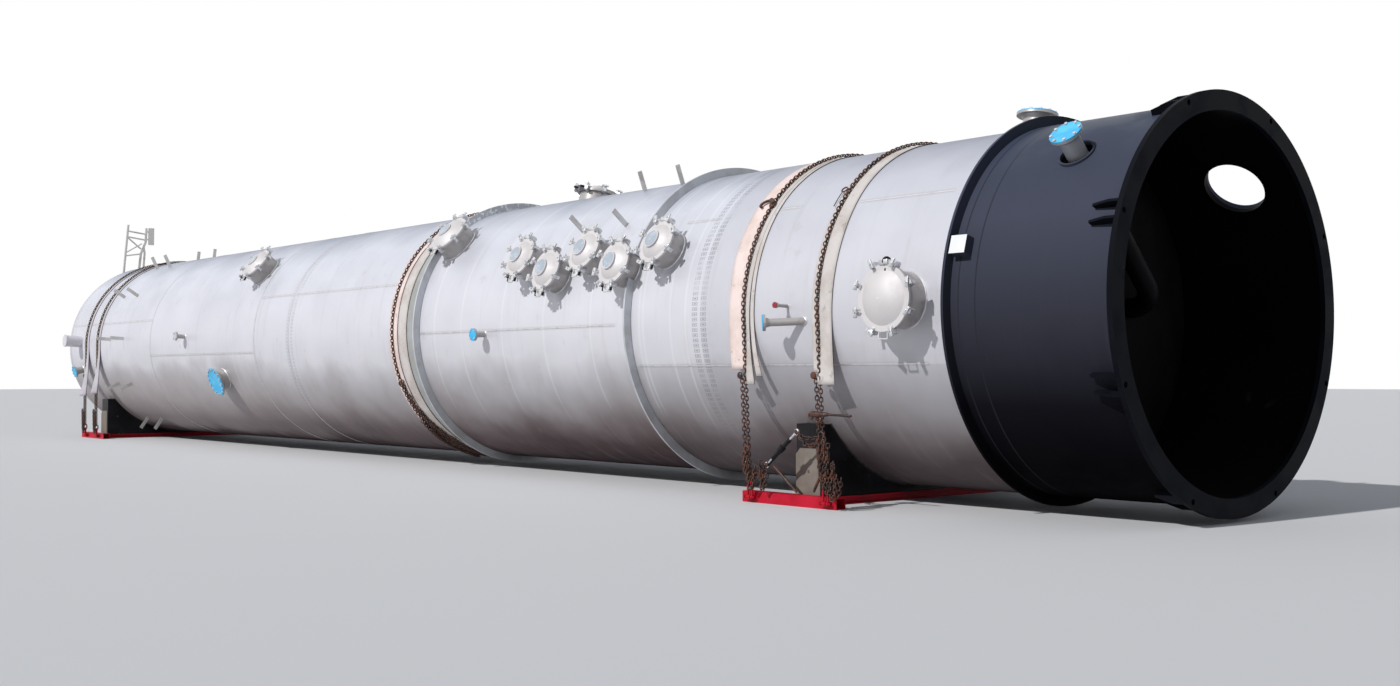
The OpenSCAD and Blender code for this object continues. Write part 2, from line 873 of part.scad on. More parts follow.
module nozzle_blanks() {
    color([0.1, 0.55, 0.9]) {
        blank(skirt_nozzle_place);
        blank(top_nozzle_place);
        blank(large_nozzle_place);
        for (place = small_nozzle_places)
            blank(place);
        along(top_tangent + top_depth + vapour_reach)
            cylinder(h = blank_t, d = pipe_24in[1]);
    }
}

module access_collar() {
    color([0.15, 0.15, 0.16])
        radial(access_at, access_angle)
            translate([0, 0, shell_r + foot - access_collar])
                ring(access_collar, access_d / 2, access_d / 2 - skirt_wall);
}

// The round of the shell, to cut the feet of what is welded on it
module shell_round() {
    along(0)
        cylinder(h = top_tangent, r = shell_r, $fn = fine);
}

module trunnions() {
    color("gainsboro")
        difference() {
            for (angle = [trunnion_angle, 180 - trunnion_angle])
                radial(trunnion_at, angle) {
                    translate([0, 0, shell_r - foot])
                        pipe(trunnion_reach + foot - trunnion_cap_t, trunnion_d, trunnion_wall);
                    translate([0, 0, shell_r + trunnion_reach - trunnion_cap_t])
                        cylinder(h = trunnion_cap_t, d = trunnion_cap_d);
                }
            shell_round();
        }
}

module support_clips() {
    color("gainsboro")
        difference() {
            for (place = clip_places)
                radial(place[0], place[1])
                    translate([-clip_t / 2, -clip_w / 2, shell_r - foot])
                        cube([clip_t, clip_w, clip_len + foot]);
            shell_round();
        }
}

// A flat bar between two points
module bar(from, to, width) {
    run = to - from;
    translate(from)
        rotate(atan2(run[1], run[0]))
            translate([0, -width / 2])
                square([norm(run), width]);
}

module head_frame() {
    color("gainsboro")
        difference() {
            translate([sx(frame_at), axis_y, axis_z])
                rotate([90, 0, 90])
                    linear_extrude(frame_t) {
                        for (member = frame_bars)
                            bar(member[0], member[1], member[2]);
                        translate(frame_plate[0])
                            square(frame_plate[1]);
                    }
            along(top_tangent)
                dish_body(top_dish);
        }
}

// An open box that stands on the skirt
module nameplate_bracket() {
    color([0.15, 0.15, 0.16])
        difference() {
            radial(plate_at, plate_angle)
                translate([-plate_l / 2, -plate_w / 2, shell_r - foot])
                    cube([plate_l, plate_w, plate_rise + foot]);
            radial(plate_at, plate_angle)
                translate([-plate_l / 2 + bracket_t, -plate_w / 2 + bracket_t, shell_r - 2 * foot])
                    cube([plate_l - 2 * bracket_t, plate_w - 2 * bracket_t, plate_rise + 3 * foot]);
            shell_round();
        }
}

module nameplate() {
    color("gainsboro")
        radial(plate_at, plate_angle)
            translate([-plate_l / 2, -plate_w / 2, shell_r + plate_rise])
                cube([plate_l, plate_w, plate_t]);
}

// The upright face of a saddle: it is cut to the shell and its lining
module saddle_face() {
    difference() {
        translate([-saddle_arm_y(), -shell_r - saddle_seat])
            square([2 * saddle_arm_y(), saddle_arm_z() + shell_r + saddle_seat]);
        circle(r = shell_r + lining_t, $fn = 180);
    }
}

function saddle_arm_y() = (shell_r + lining_t) * cos(saddle_arm_angle) + saddle_arm_reach;
function saddle_arm_z() = -(shell_r + lining_t) * sin(saddle_arm_angle);

// A cradle: two webs, the wear plate between them that carries the lining, and ribs
module saddle(at) {
    inner_w = saddle_w - 2 * saddle_plate_t;
    wear_r = shell_r + lining_t + saddle_plate_t;
    color([0.1, 0.1, 0.11])
        translate([sx(at), axis_y, axis_z])
            rotate([90, 0, 90]) {
                for (x = [-saddle_w / 2, inner_w / 2])
                    translate([0, 0, x])
                        linear_extrude(saddle_plate_t)
                            saddle_face();
                translate([0, 0, -inner_w / 2])
                    linear_extrude(inner_w) {
                        intersection() {
                            saddle_face();
                            circle(r = wear_r, $fn = 180);
                        }
                        for (side = [-1, 1], i = [1 : saddle_rib_count])
                            intersection() {
                                difference() {
                                    saddle_face();
                                    circle(r = wear_r, $fn = 180);
                                }
                                translate([rib_place(side, i), -shell_r - saddle_seat])
                                    square([saddle_rib_t, shell_od]);
                            }
                    }
            }
}

// Where a rib starts: the outermost one closes the saddle's end, and the others share this part of
// the arm behind it
rib_share = 0.5;
function rib_part(i) = 1 - rib_share * (saddle_rib_count - i) / saddle_rib_count;
function rib_place(side, i) =
    side * (saddle_arm_y() * rib_part(i) - saddle_rib_t / 2) - saddle_rib_t / 2;

module front_saddle() saddle(front_saddle_at);
module rear_saddle() saddle(rear_saddle_at);

module end_plate() {
    rotate([90, 0, 0])
        linear_extrude(end_plate_t)
            polygon([[0, 0], [end_plate_w, 0], [end_plate_w, end_plate_h],
                     [end_plate_corner, end_plate_h], [0, end_plate_h - end_plate_corner]]);
}

module saddle_end_plates() {
    color([0.5, 0.47, 0.42])
        for (at = [front_saddle_at, rear_saddle_at], flip = [0, 1])
            translate([sx(at) + saddle_w / 2 - end_plate_w, axis_y, cross_beam_h])
                mirror([0, flip, 0])
                    translate([0, -saddle_arm_y(), 0])
                        end_plate();
}

// A rolled beam's section
module beam_section() {
    for (z = [0, cross_beam_h - cross_beam_t])
        translate([-cross_beam_w / 2, z])
            square([cross_beam_w, cross_beam_t]);
    translate([-cross_beam_t / 2, 0])
        square([cross_beam_t, cross_beam_h]);
}

// The lug on a side beam that holds a shackle's pin, drawn for the -Y side
module chain_lug() {
    translate([lug_t / 2, -chain_run, lug_z])
        rotate([0, -90, 0])
            linear_extrude(lug_t)
                difference() {
                    union() {
                        circle(d = 2 * pin_d, $fn = 32);
                        translate([-pin_d, 0])
                            square([2 * pin_d, chain_clear]);
                    }
                    circle(d = pin_d + pin_play, $fn = 32);
                }
}

// The bow shackle that a chain hooks into: bow, two legs and the pin with its heads
module shackle() {
    leg_out = (shackle_gap + shackle_bar) / 2;
    pin_l = shackle_gap + 4 * shackle_bar;
    head_t = shackle_bar / 2;
    eye_t = shackle_bar + eye_more;
    translate([0, -chain_run, shackle_z]) {
        translate([0, 0, shackle_leg])
            rotate([90, 0, 0])
                rotate_extrude(angle = 180, $fn = 32)
                    translate([leg_out, 0])
                        circle(d = shackle_bar, $fn = 32);
        for (side = [-1, 1]) {
            translate([side * leg_out, 0, 0])
                cylinder(h = shackle_leg, d = shackle_bar, $fn = 32);
            translate([side * leg_out - eye_t / 2, 0, 0])
                rotate([0, 90, 0])
                    cylinder(h = eye_t, d = eye_d, $fn = 32);
        }
        translate([-pin_l / 2, 0, 0])
            rotate([0, 90, 0])
                cylinder(h = pin_l, d = pin_d, $fn = 32);
        translate([-pin_l / 2 - head_t, 0, 0])
            rotate([0, 90, 0])
                cylinder(h = head_t, d = eye_d, $fn = 6);
    }
}

// A bolster's side beam: a rectangular tube
module side_beam() {
    rotate([90, 0, 90])
        linear_extrude(side_beam_l)
            difference() {
                square([side_beam_w, side_beam_h]);
                translate([side_beam_wall, side_beam_wall])
                    square([side_beam_w - 2 * side_beam_wall, side_beam_h - 2 * side_beam_wall]);
            }
}

// A bolster: two side beams, cross beams under the saddle's webs, and an anchor for each chain's end
module bolster(at, saddle_at, chains) {
    color([0.75, 0.08, 0.1]) {
        for (y = [-side_beam_y - side_beam_w, side_beam_y])
            translate([sx(at) - side_beam_l / 2, axis_y + y, 0])
                side_beam();
        for (x = [-1, 1])
            translate([sx(saddle_at) + x * (saddle_w - saddle_plate_t) / 2, axis_y + side_beam_y, 0])
                rotate([90, 0, 0])
                    linear_extrude(2 * side_beam_y)
                        beam_section();
        for (chain = chains, flip = [0, 1])
            translate([sx(chain[0] - chain[1]), axis_y, 0])
                mirror([0, flip, 0]) {
                    chain_lug();
                    shackle();
                }
    }
}

module front_bolster() bolster(front_bolster_at, front_saddle_at, front_chain_places);
module rear_bolster() bolster(rear_saddle_at, rear_saddle_at, rear_chain_places);

module lining(at) {
    translate([sx(at) - saddle_w / 2, axis_y, axis_z])
        rotate([90, 0, 90])
            rotate([0, 0, 180 + saddle_arm_angle])
                rotate_extrude(angle = 180 - 2 * saddle_arm_angle)
                    translate([shell_r, 0])
                        square([lining_t, saddle_w]);
}

module saddle_linings() {
    color([0.15, 0.13, 0.12]) {
        lining(front_saddle_at);
        lining(rear_saddle_at);
    }
}

// A chain's three stretches: up from a shackle at a lean, over the shell on its pad, and down again
module tie_chain(place) {
    lean = place[1];
    drop = axis_z - shackle_top - seat_gap;
    run = norm([lean, drop]);
    // The tilt of a hanging stretch keeps its end clear of the stretch above by this much
    end_gap = seat_gap + chain_d / 2 * lean / run;
    translate([sx(place[0]), axis_y, axis_z]) {
        rotate([90, 0, 90])
            rotate_extrude(angle = 180)
                translate([chain_run, 0])
                    circle(d = chain_d, $fn = 32);
        for (side = [-1, 1])
            translate([lean, side * chain_run, -drop])
                rotate([0, -atan2(lean, drop), 0])
                    cylinder(h = run - end_gap, d = chain_d, $fn = 32);
    }
}

module front_chains() color([0.35, 0.2, 0.14]) for (place = front_chain_places) tie_chain(place);
module rear_chains() color([0.35, 0.2, 0.14]) for (place = rear_chain_places) tie_chain(place);

module girth_chain() {
    color([0.3, 0.2, 0.16])
        along(girth_chain_at)
            rotate_extrude()
                translate([chain_run, 0])
                    circle(d = chain_d, $fn = 32);
}

// A belting pad that lies over the shell and hangs straight down at both ends
module pad(at, width) {
    translate([sx(at) - width / 2, axis_y, axis_z]) {
        rotate([90, 0, 90])
            rotate_extrude(angle = 180)
                translate([shell_r, 0])
                    square([pad_t, width]);
        for (y = [-shell_r - pad_t, shell_r])
            translate([0, y, -pad_tail])
                cube([width, pad_t, pad_tail]);
    }
}

module chain_pads() {
    color([0.78, 0.72, 0.64]) {
        pad(near_chain_at - near_pad_off, near_pad_w);
        pad(near_chain_at + front_chain_pitch + far_pad_off, far_pad_w);
        for (place = rear_chain_places)
            pad(place[0], pad_w);
        for (i = [0 : girth_belt_count - 1])
            along(girth_chain_at - i * girth_belt_pitch - girth_belt_w / 2)
                ring(girth_belt_w, shell_r + pad_t, shell_r);
    }
}

course(bottom_tangent, ring_low_at);  // shell_course_1
course(ring_low_at, ring_high_at);  // shell_course_2
course(ring_high_at, seam_mid_at);  // shell_course_3
course(seam_mid_at, seam_high_at);  // shell_course_4
course(seam_high_at, top_tangent);  // shell_course_5
top_head();
bottom_head();
skirt_front();
skirt_rear();
skirt_under();
skirt_top_ring();
base_ring();
anchor_chairs();
stiffener_ring_low();
stiffener_ring_high();
lower_manway_neck();
lower_manway_cover();
lower_manway_clamps();
manway_necks();
manway_covers();
manway_clamps();
sight_glasses();
skirt_nozzle();
skirt_sleeve();
top_nozzle();
large_nozzle();
small_nozzles();
vapour_nozzle();
nozzle_blanks();
access_collar();
trunnions();
support_clips();
head_frame();
nameplate_bracket();
nameplate();
front_saddle();
rear_saddle();
saddle_end_plates();
front_bolster();
rear_bolster();
saddle_linings();
front_chains();
rear_chains();
girth_chain();
chain_pads();
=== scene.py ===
# %% [markdown]
# # A distillation column on its transport saddles
# The column is a stainless vessel 31 m long that lies on two black cradles. Its solid pieces come
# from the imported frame. This lesson gives them their finishes and adds what is too fine for them:
# chain links, belting, weld beads, bolts, hooks and binders.

# %% Load the frame
import json
import math
import random
import bmesh
import bpy
from mathutils import Matrix, Vector


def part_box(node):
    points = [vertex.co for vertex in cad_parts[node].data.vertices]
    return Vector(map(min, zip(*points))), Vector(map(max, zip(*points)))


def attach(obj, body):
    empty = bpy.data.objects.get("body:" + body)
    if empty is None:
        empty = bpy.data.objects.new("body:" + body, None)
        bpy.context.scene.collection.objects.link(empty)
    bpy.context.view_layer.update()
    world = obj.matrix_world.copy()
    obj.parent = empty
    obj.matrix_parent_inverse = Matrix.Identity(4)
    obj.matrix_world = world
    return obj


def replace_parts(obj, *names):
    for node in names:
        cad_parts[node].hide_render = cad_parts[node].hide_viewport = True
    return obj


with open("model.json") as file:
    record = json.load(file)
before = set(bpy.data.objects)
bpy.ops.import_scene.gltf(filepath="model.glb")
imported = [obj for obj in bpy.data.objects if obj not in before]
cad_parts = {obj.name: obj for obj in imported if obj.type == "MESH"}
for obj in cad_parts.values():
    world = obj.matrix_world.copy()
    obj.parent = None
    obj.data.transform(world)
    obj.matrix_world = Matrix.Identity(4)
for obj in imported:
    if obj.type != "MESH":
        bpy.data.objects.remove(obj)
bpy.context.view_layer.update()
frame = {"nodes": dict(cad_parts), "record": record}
nodes = frame["nodes"]
print("pieces in the frame:", len(nodes))

# %% [markdown]
# ## Where things are
# Places on a column are given as a station along its axis, measured from the base ring's outer face,
# and an angle round it, measured from the -Y side upwards. The frame's boxes give the axis and the
# base ring's face, so the same places hold here as on the vessel.

# %% Stations and angles
shell_low, shell_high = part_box("shell_course_2")
axis_y = (shell_low.y + shell_high.y) / 2
axis_z = (shell_low.z + shell_high.z) / 2
shell_r = (shell_high.y - shell_low.y) / 2
x_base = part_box("base_ring")[1].x


def outward(angle):
    """The direction away from the axis at an angle in degrees from the -Y side upwards."""
    turn = math.radians(angle)
    return Vector((0, -math.cos(turn), math.sin(turn)))


def place(station, angle, radius):
    """The point at a station in metres, an angle in degrees and a radius."""
    return Vector((x_base - station, axis_y, axis_z)) + outward(angle) * radius


def stand(station, angle, radius):
    """A frame whose Z points outward at that place and whose X is the vessel's own X."""
    turn = Matrix.Rotation(math.radians(90 - angle), 4, "X")
    return Matrix.Translation(place(station, angle, radius)) @ turn


def station_of(node):
    """The station of a node's middle."""
    low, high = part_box(node)
    return x_base - (low.x + high.x) / 2


print("shell radius %.3f m, axis at y %.3f, z %.3f" % (shell_r, axis_y, axis_z))

# %% [markdown]
# ## The camera
# The photograph was taken from the skirt end, low down and a little above the floor, looking along
# the vessel. The camera's place is measured from the base ring's centre.

# %% Camera
PHOTO_WIDTH, PHOTO_HEIGHT = 1400, 686
FOCAL_LENGTH, CENTRE_ROW = 1439.05, 330.05  # both in the photograph's pixels
CAMERA_FROM_RING = Vector((7.519, -13.679, -0.732))
CAMERA_TILT, CAMERA_TURN = 0.0319, 0.8581  # in radians, upwards and to the left
SENSOR_WIDTH = 36.0

camera_data = bpy.data.cameras.new("camera")
camera = bpy.data.objects.new("camera", camera_data)
bpy.context.scene.collection.objects.link(camera)
camera.location = Vector((x_base, axis_y, axis_z)) + CAMERA_FROM_RING
camera.rotation_euler = (math.radians(90) + CAMERA_TILT, 0.0, CAMERA_TURN)
camera_data.sensor_width = SENSOR_WIDTH
camera_data.lens = SENSOR_WIDTH * FOCAL_LENGTH / PHOTO_WIDTH
camera_data.shift_y = (CENTRE_ROW - PHOTO_HEIGHT / 2) / PHOTO_WIDTH
camera_data.clip_end = 500
bpy.context.scene.camera = camera
print("camera at", tuple(round(v, 2) for v in camera.location))

# %% [markdown]
# ## Shared effects
# Each effect is a small node group that gives out a mask, a value or a normal. The finishes below
# mix their own colours with these masks.


# %% Node groups
def new_group(name, inputs, outputs):
    """An empty group with float inputs, given as (label, value), and outputs, given as (label, kind)."""
    group = bpy.data.node_groups.new(name, "ShaderNodeTree")
    for label, value in inputs:
        socket = group.interface.new_socket(label, in_out="INPUT", socket_type="NodeSocketFloat")
        socket.default_value = value
    for label, kind in outputs:
        group.interface.new_socket(label, in_out="OUTPUT", socket_type=kind)
    return group, group.nodes.new("NodeGroupInput"), group.nodes.new("NodeGroupOutput")


def feed(tree, socket, value):
    """Links another socket to an input, or sets a plain number or colour on it."""
    if isinstance(value, bpy.types.NodeSocket):
        tree.links.new(value, socket)
    else:
        socket.default_value = (*value, 1) if isinstance(value, tuple) else value


def use_group(tree, name):
    """A shared effect in a tree."""
    node = tree.nodes.new("ShaderNodeGroup")
    node.node_tree = bpy.data.node_groups[name]
    return node


print("tools for node groups ready")


# %% Sums, ramps and noise in a tree
def add_math(tree, kind, *values):
    """A math node fed by sockets or plain numbers; returns its result."""
    node = tree.nodes.new("ShaderNodeMath")
    node.operation = kind
    for socket, value in zip(node.inputs, values):
        feed(tree, socket, value)
    return node.outputs[0]


def multiply(tree, first, second):
    """The product of two masks or values."""
    return add_math(tree, "MULTIPLY", first, second)


def highest(tree, masks):
    """The highest of several masks."""
    result = masks[0]
    for mask in masks[1:]:
        result = add_math(tree, "MAXIMUM", result, mask)
    return result


def add_ramp(tree, value, low, high, start=0.0, end=1.0):
    """Maps a value from low..high to start..end, smoothly and clamped."""
    node = tree.nodes.new("ShaderNodeMapRange")
    node.interpolation_type = "SMOOTHSTEP"
    given = {"Value": value, "From Min": low, "From Max": high, "To Min": start, "To Max": end}
    for label, wanted in given.items():
        feed(tree, node.inputs[label], wanted)
    return node.outputs["Result"]


def add_between(tree, value, low, high, soft=0.02):
    """1 where a value lies between two limits, else 0, with soft edges."""
    rise = add_ramp(tree, value, low - soft, low + soft)
    fall = add_ramp(tree, value, high - soft, high + soft, 1.0, 0.0)
    return multiply(tree, rise, fall)


def add_noise(tree, vector, scale, detail, rough):
    """Noise over a vector."""
    node = tree.nodes.new("ShaderNodeTexNoise")
    feed(tree, node.inputs["Scale"], scale)
    node.inputs["Detail"].default_value = detail
    node.inputs["Roughness"].default_value = rough
    tree.links.new(vector, node.inputs["Vector"])
    return node.outputs["Fac"]


def object_place(tree):
    """The place of a point in the object's own metres."""
    return tree.nodes.new("ShaderNodeTexCoord").outputs["Object"]


print("sums, ramps and noise ready")


# %% Where a point is on the vessel
def make_vessel_place():
    """Gives a point's station, its angle, its distance from the axis and its angle above the level line."""
    labels = ("Station", "Angle", "Radius", "Height")
    group, start, end = new_group("vessel place", [], [(label, "NodeSocketFloat") for label in labels])
    split = group.nodes.new("ShaderNodeSeparateXYZ")
    group.links.new(object_place(group), split.inputs[0])
    side = add_math(group, "SUBTRACT", axis_y, split.outputs["Y"])
    rise = add_math(group, "SUBTRACT", split.outputs["Z"], axis_z)
    turn = add_math(group, "ARCTAN2", rise, side)
    height = add_math(group, "ARCTAN2", rise, add_math(group, "ABSOLUTE", side))
    square = add_math(group, "ADD", multiply(group, side, side), multiply(group, rise, rise))
    group.links.new(add_math(group, "SUBTRACT", x_base, split.outputs["X"]), end.inputs["Station"])
    group.links.new(add_math(group, "DEGREES", turn), end.inputs["Angle"])
    group.links.new(add_math(group, "SQRT", square), end.inputs["Radius"])
    group.links.new(add_math(group, "DEGREES", height), end.inputs["Height"])
    return group


def vessel_place(tree):
    """The outputs that tell where on the vessel a point is."""
    return use_group(tree, "vessel place").outputs


print("effect:", make_vessel_place().name)

# %% Masks and grain
MASK = [("Mask", "NodeSocketFloat")]
MARK_PITCH = 1.8  # degrees from one printed mark to the next
MARK_HALF, MARK_SHARE = 0.052, 0.36  # half a mark: along the shell in metres, round it in pitches
FRAME_AT, FRAME_SOFT = 0.82, 0.26  # where a mark's frame lies between its middle and its edge, and how soft


def make_line():
    """A soft line where a value is near a centre, up to a half width."""
    group, start, end = new_group("line", [("Value", 0.0), ("Centre", 0.0), ("Half Width", 0.01)], MASK)
    off = add_math(group, "SUBTRACT", start.outputs["Value"], start.outputs["Centre"])
    away = add_math(group, "ABSOLUTE", off)
    group.links.new(add_ramp(group, away, 0.0, start.outputs["Half Width"], 1.0, 0.0), end.inputs["Mask"])
    return group


def make_blotches():
    """Soft patches: the share of noise above a level."""
    group, start, end = new_group("blotches", [("Scale", 1.0), ("Low", 0.45), ("High", 0.65)], MASK)
    noise = add_noise(group, object_place(group), start.outputs["Scale"], 5.0, 0.6)
    patches = add_ramp(group, noise, start.outputs["Low"], start.outputs["High"])
    group.links.new(patches, end.inputs["Mask"])
    return group


def make_run_marks():
    """Thin marks that run down round the shell: noise that is fine along it and long around it."""
    group, start, end = new_group("run marks", [("Fineness", 9.0), ("Low", 0.5), ("High", 0.7)], MASK)
    spot = vessel_place(group)
    join = group.nodes.new("ShaderNodeCombineXYZ")
    group.links.new(multiply(group, spot["Station"], start.outputs["Fineness"]), join.inputs["X"])
    group.links.new(multiply(group, spot["Angle"], 0.018), join.inputs["Y"])
    streak = add_noise(group, join.outputs["Vector"], 1.0, 4.0, 0.65)
    group.links.new(add_ramp(group, streak, start.outputs["Low"], start.outputs["High"]), end.inputs["Mask"])
    return group


def make_printed_marks():
    """A row of small printed frames, each with a dot in it, that runs round the shell at a station."""
    group, start, end = new_group("printed marks", [("Station", 5.86)], MASK)
    spot = vessel_place(group)
    off = add_math(group, "ABSOLUTE", add_math(group, "SUBTRACT", spot["Station"], start.outputs["Station"]))
    cell = add_math(group, "FRACT", add_math(group, "DIVIDE", spot["Angle"], MARK_PITCH))
    aside = add_math(group, "ABSOLUTE", add_math(group, "SUBTRACT", cell, 0.5))
    reach = highest(group, [add_math(group, "DIVIDE", off, MARK_HALF),
                            add_math(group, "DIVIDE", aside, MARK_SHARE)])
    edge = add_math(group, "ABSOLUTE", add_math(group, "SUBTRACT", reach, FRAME_AT))
    outline = add_ramp(group, edge, 0.0, FRAME_SOFT, 1.0, 0.0)
    dot = add_ramp(group, reach, 0.28, 0.46, 1.0, 0.0)
    group.links.new(highest(group, [outline, dot]), end.inputs["Mask"])
    return group


def make_grain():
    """A normal from fine noise, for plate, paint and rubber."""
    group, start, end = new_group("grain", [("Scale", 60.0), ("Strength", 0.1), ("Depth", 0.002)],
                                  [("Normal", "NodeSocketVector")])
    bump = group.nodes.new("ShaderNodeBump")
    group.links.new(start.outputs["Strength"], bump.inputs["Strength"])
    group.links.new(start.outputs["Depth"], bump.inputs["Distance"])
    noise = add_noise(group, object_place(group), start.outputs["Scale"], 4.0, 0.5)
    group.links.new(noise, bump.inputs["Height"])
    group.links.new(bump.outputs["Normal"], end.inputs["Normal"])
    return group


for make in (make_line, make_blotches, make_run_marks, make_printed_marks, make_grain):
    print("effect:", make().name)


# %% Tools for finishes
def new_finish(name, metallic, roughness):
    """A material with its shader's plain values set on the shader itself."""
    finish = bpy.data.materials.new(name)
    finish.use_nodes = True
    shader = finish.node_tree.nodes["Principled BSDF"]
    shader.inputs["Metallic"].default_value = metallic
    shader.inputs["Roughness"].default_value = roughness
    return finish, finish.node_tree, shader


def use_effect(tree, name, output, **values):
    """Adds a shared effect to a finish and returns one of its outputs."""
    node = use_group(tree, name)
    for label, value in values.items():
        feed(tree, node.inputs[label.replace("_", " ")], value)
    return node.outputs[output]


def add_blotches(tree, scale, low, high):
    """A mask of soft patches."""
    return use_effect(tree, "blotches", "Mask", Scale=scale, Low=low, High=high)


def add_line(tree, value, centre, half):
    """A mask of a soft line where a value is near a centre."""
    return use_effect(tree, "line", "Mask", Value=value, Centre=centre, Half_Width=half)


def mix_colour(tree, mask, base, over, share=1.0):
    """Lays one colour over another where a mask is high."""
    mix = tree.nodes.new("ShaderNodeMix")
    mix.data_type = "RGBA"
    tree.links.new(mask if share == 1.0 else multiply(tree, mask, share), mix.inputs["Factor"])
    feed(tree, mix.inputs["A"], base)
    feed(tree, mix.inputs["B"], over)
    return mix.outputs["Result"]


def add_tones(tree, value, tones):
    """Colours over a range of a value, given as (value, colour) from low to high."""
    low, high = tones[0][0], tones[-1][0]
    share = tree.nodes.new("ShaderNodeMapRange")
    share.inputs["From Min"].default_value = low
    share.inputs["From Max"].default_value = high
    tree.links.new(value, share.inputs["Value"])
    ramp = tree.nodes.new("ShaderNodeValToRGB")
    stops = ramp.color_ramp.elements
    stops[0].color = (*tones[0][1], 1)
    stops[1].color = (*tones[-1][1], 1)
    for at, colour in tones[1:-1]:
        stops.new((at - low) / (high - low)).color = (*colour, 1)
    tree.links.new(share.outputs["Result"], ramp.inputs["Fac"])
    return ramp.outputs["Color"]


def set_colour(tree, shader, colour):
    tree.links.new(colour, shader.inputs["Base Color"])


def set_grain(tree, shader, scale, strength, depth=0.002):
    normal = use_effect(tree, "grain", "Normal", Scale=scale, Strength=strength, Depth=depth)
    tree.links.new(normal, shader.inputs["Normal"])


def vary_roughness(tree, shader, mask, low, high, upper=None, more=0.0):
    """Roughness that follows a mask; where the mask of the upper side is low it is higher by some more."""
    rough = add_ramp(tree, mask, 0.0, 1.0, low, high)
    if upper is not None:
        rough = add_math(tree, "ADD", rough, add_ramp(tree, upper, 0.0, 1.0, more, 0.0))
    tree.links.new(rough, shader.inputs["Roughness"])


print("tools for finishes ready")

# %% [markdown]
# ## Stainless finishes
# The shell is pickled stainless plate. It is a little dull, with a fine grain, faint drip marks that run
# down round it, brownish stains and heat tint beside the welds. Its tone round the shell is painted shading,
# with a dark, reddish-brown painted shade and painted reflection on its belly. Its finish reads the station
# and the angle of each point, so that every seam lies where the real one does.

# %% The shell's finish
# Seams round the shell by their stations, and seams along it by their ends' stations and their angle
GIRTH_SEAMS = (2.016, 12.764, 17.545, 19.060, 24.530, 29.913)
LONG_SEAMS = ((2.34, 7.22, -17.0), (7.64, 12.74, -1.7), (6.01, 6.64, 37.0), (4.56, 5.25, 38.0),
              (2.24, 3.62, 37.0), (12.80, 19.03, 22.0), (19.10, 24.50, -8.0), (24.56, 29.88, 14.0))
# Strips that were ground bright round the shell, and rows of printed marks with how dark they are
GROUND_STRIPS = (6.20, 6.50, 7.05, 7.13, 8.20, 9.31, 10.38, 11.50, 12.30, 20.10)
PRINTED_ROWS = ((5.86, 0.62), (6.02, 0.62), (17.42, 0.35), (17.60, 0.35))
SEAM_HALF, SEAM_HALF_TURN, STRIP_HALF = 0.05, 1.2, 0.035


def shell_seams(tree, station, angle):
    """A mask of the heat tint beside every seam."""
    lines = [add_line(tree, station, seam, SEAM_HALF) for seam in GIRTH_SEAMS]
    for start, end, turn in LONG_SEAMS:
        line = add_line(tree, angle, turn, SEAM_HALF_TURN)
        lines.append(multiply(tree, line, add_between(tree, station, start, end)))
    return highest(tree, lines)


def shell_marks(tree, colour, station, angle, upper):
    """Lays the seams, ground strips, drip marks, printed rows and stains over the plate's tone."""
    colour = mix_colour(tree, shell_seams(tree, station, angle), colour, (0.36, 0.335, 0.32), 0.42)
    strips = highest(tree, [add_line(tree, station, strip, STRIP_HALF) for strip in GROUND_STRIPS])
    colour = mix_colour(tree, multiply(tree, strips, upper), colour, (0.86, 0.86, 0.88), 0.30)
    runs = use_effect(tree, "run marks", "Mask", Fineness=7.0, Low=0.52, High=0.74)
    colour = mix_colour(tree, runs, colour, (0.40, 0.36, 0.35), 0.20)
    patchy = add_blotches(tree, 2.2, 0.30, 0.55)
    for row, strength in PRINTED_ROWS:
        marks = multiply(tree, use_effect(tree, "printed marks", "Mask", Station=row), patchy)
        colour = mix_colour(tree, marks, colour, (0.17, 0.155, 0.19), strength)
    return mix_colour(tree, add_blotches(tree, 3.5, 0.60, 0.78), colour, (0.33, 0.27, 0.25), 0.22)


print("seams on the shell:", len(GIRTH_SEAMS) + len(LONG_SEAMS))

# %% [markdown]
# The plate's tone follows the angle above the level line, and this is painted light: a dark, reddish-brown
# painted shade and painted reflection on the belly, a painted highlight on the side, and a darker, bluer top
# that is a painted reflection of a dark horizon. The painted shade on the belly is lighter far from the
# skirt, and the plates next to it are darker.

# %% The shell's tone
# Painted shading by the angle above the level line: painted shade and a reddish painted reflection on the
# belly, a painted highlight on the side, and a darker painted reflection on top
SHELL_TONES = (
    (-90, (0.050, 0.031, 0.032)), (-70, (0.060, 0.038, 0.040)), (-57, (0.110, 0.076, 0.078)),
    (-46, (0.205, 0.165, 0.168)), (-36, (0.335, 0.308, 0.312)), (-25, (0.475, 0.458, 0.470)),
    (-12, (0.720, 0.705, 0.740)), (2, (0.710, 0.700, 0.745)), (25, (0.640, 0.640, 0.690)),
    (45, (0.670, 0.685, 0.745)), (62, (0.490, 0.510, 0.585)), (76, (0.290, 0.315, 0.380)),
    (90, (0.200, 0.225, 0.275)))


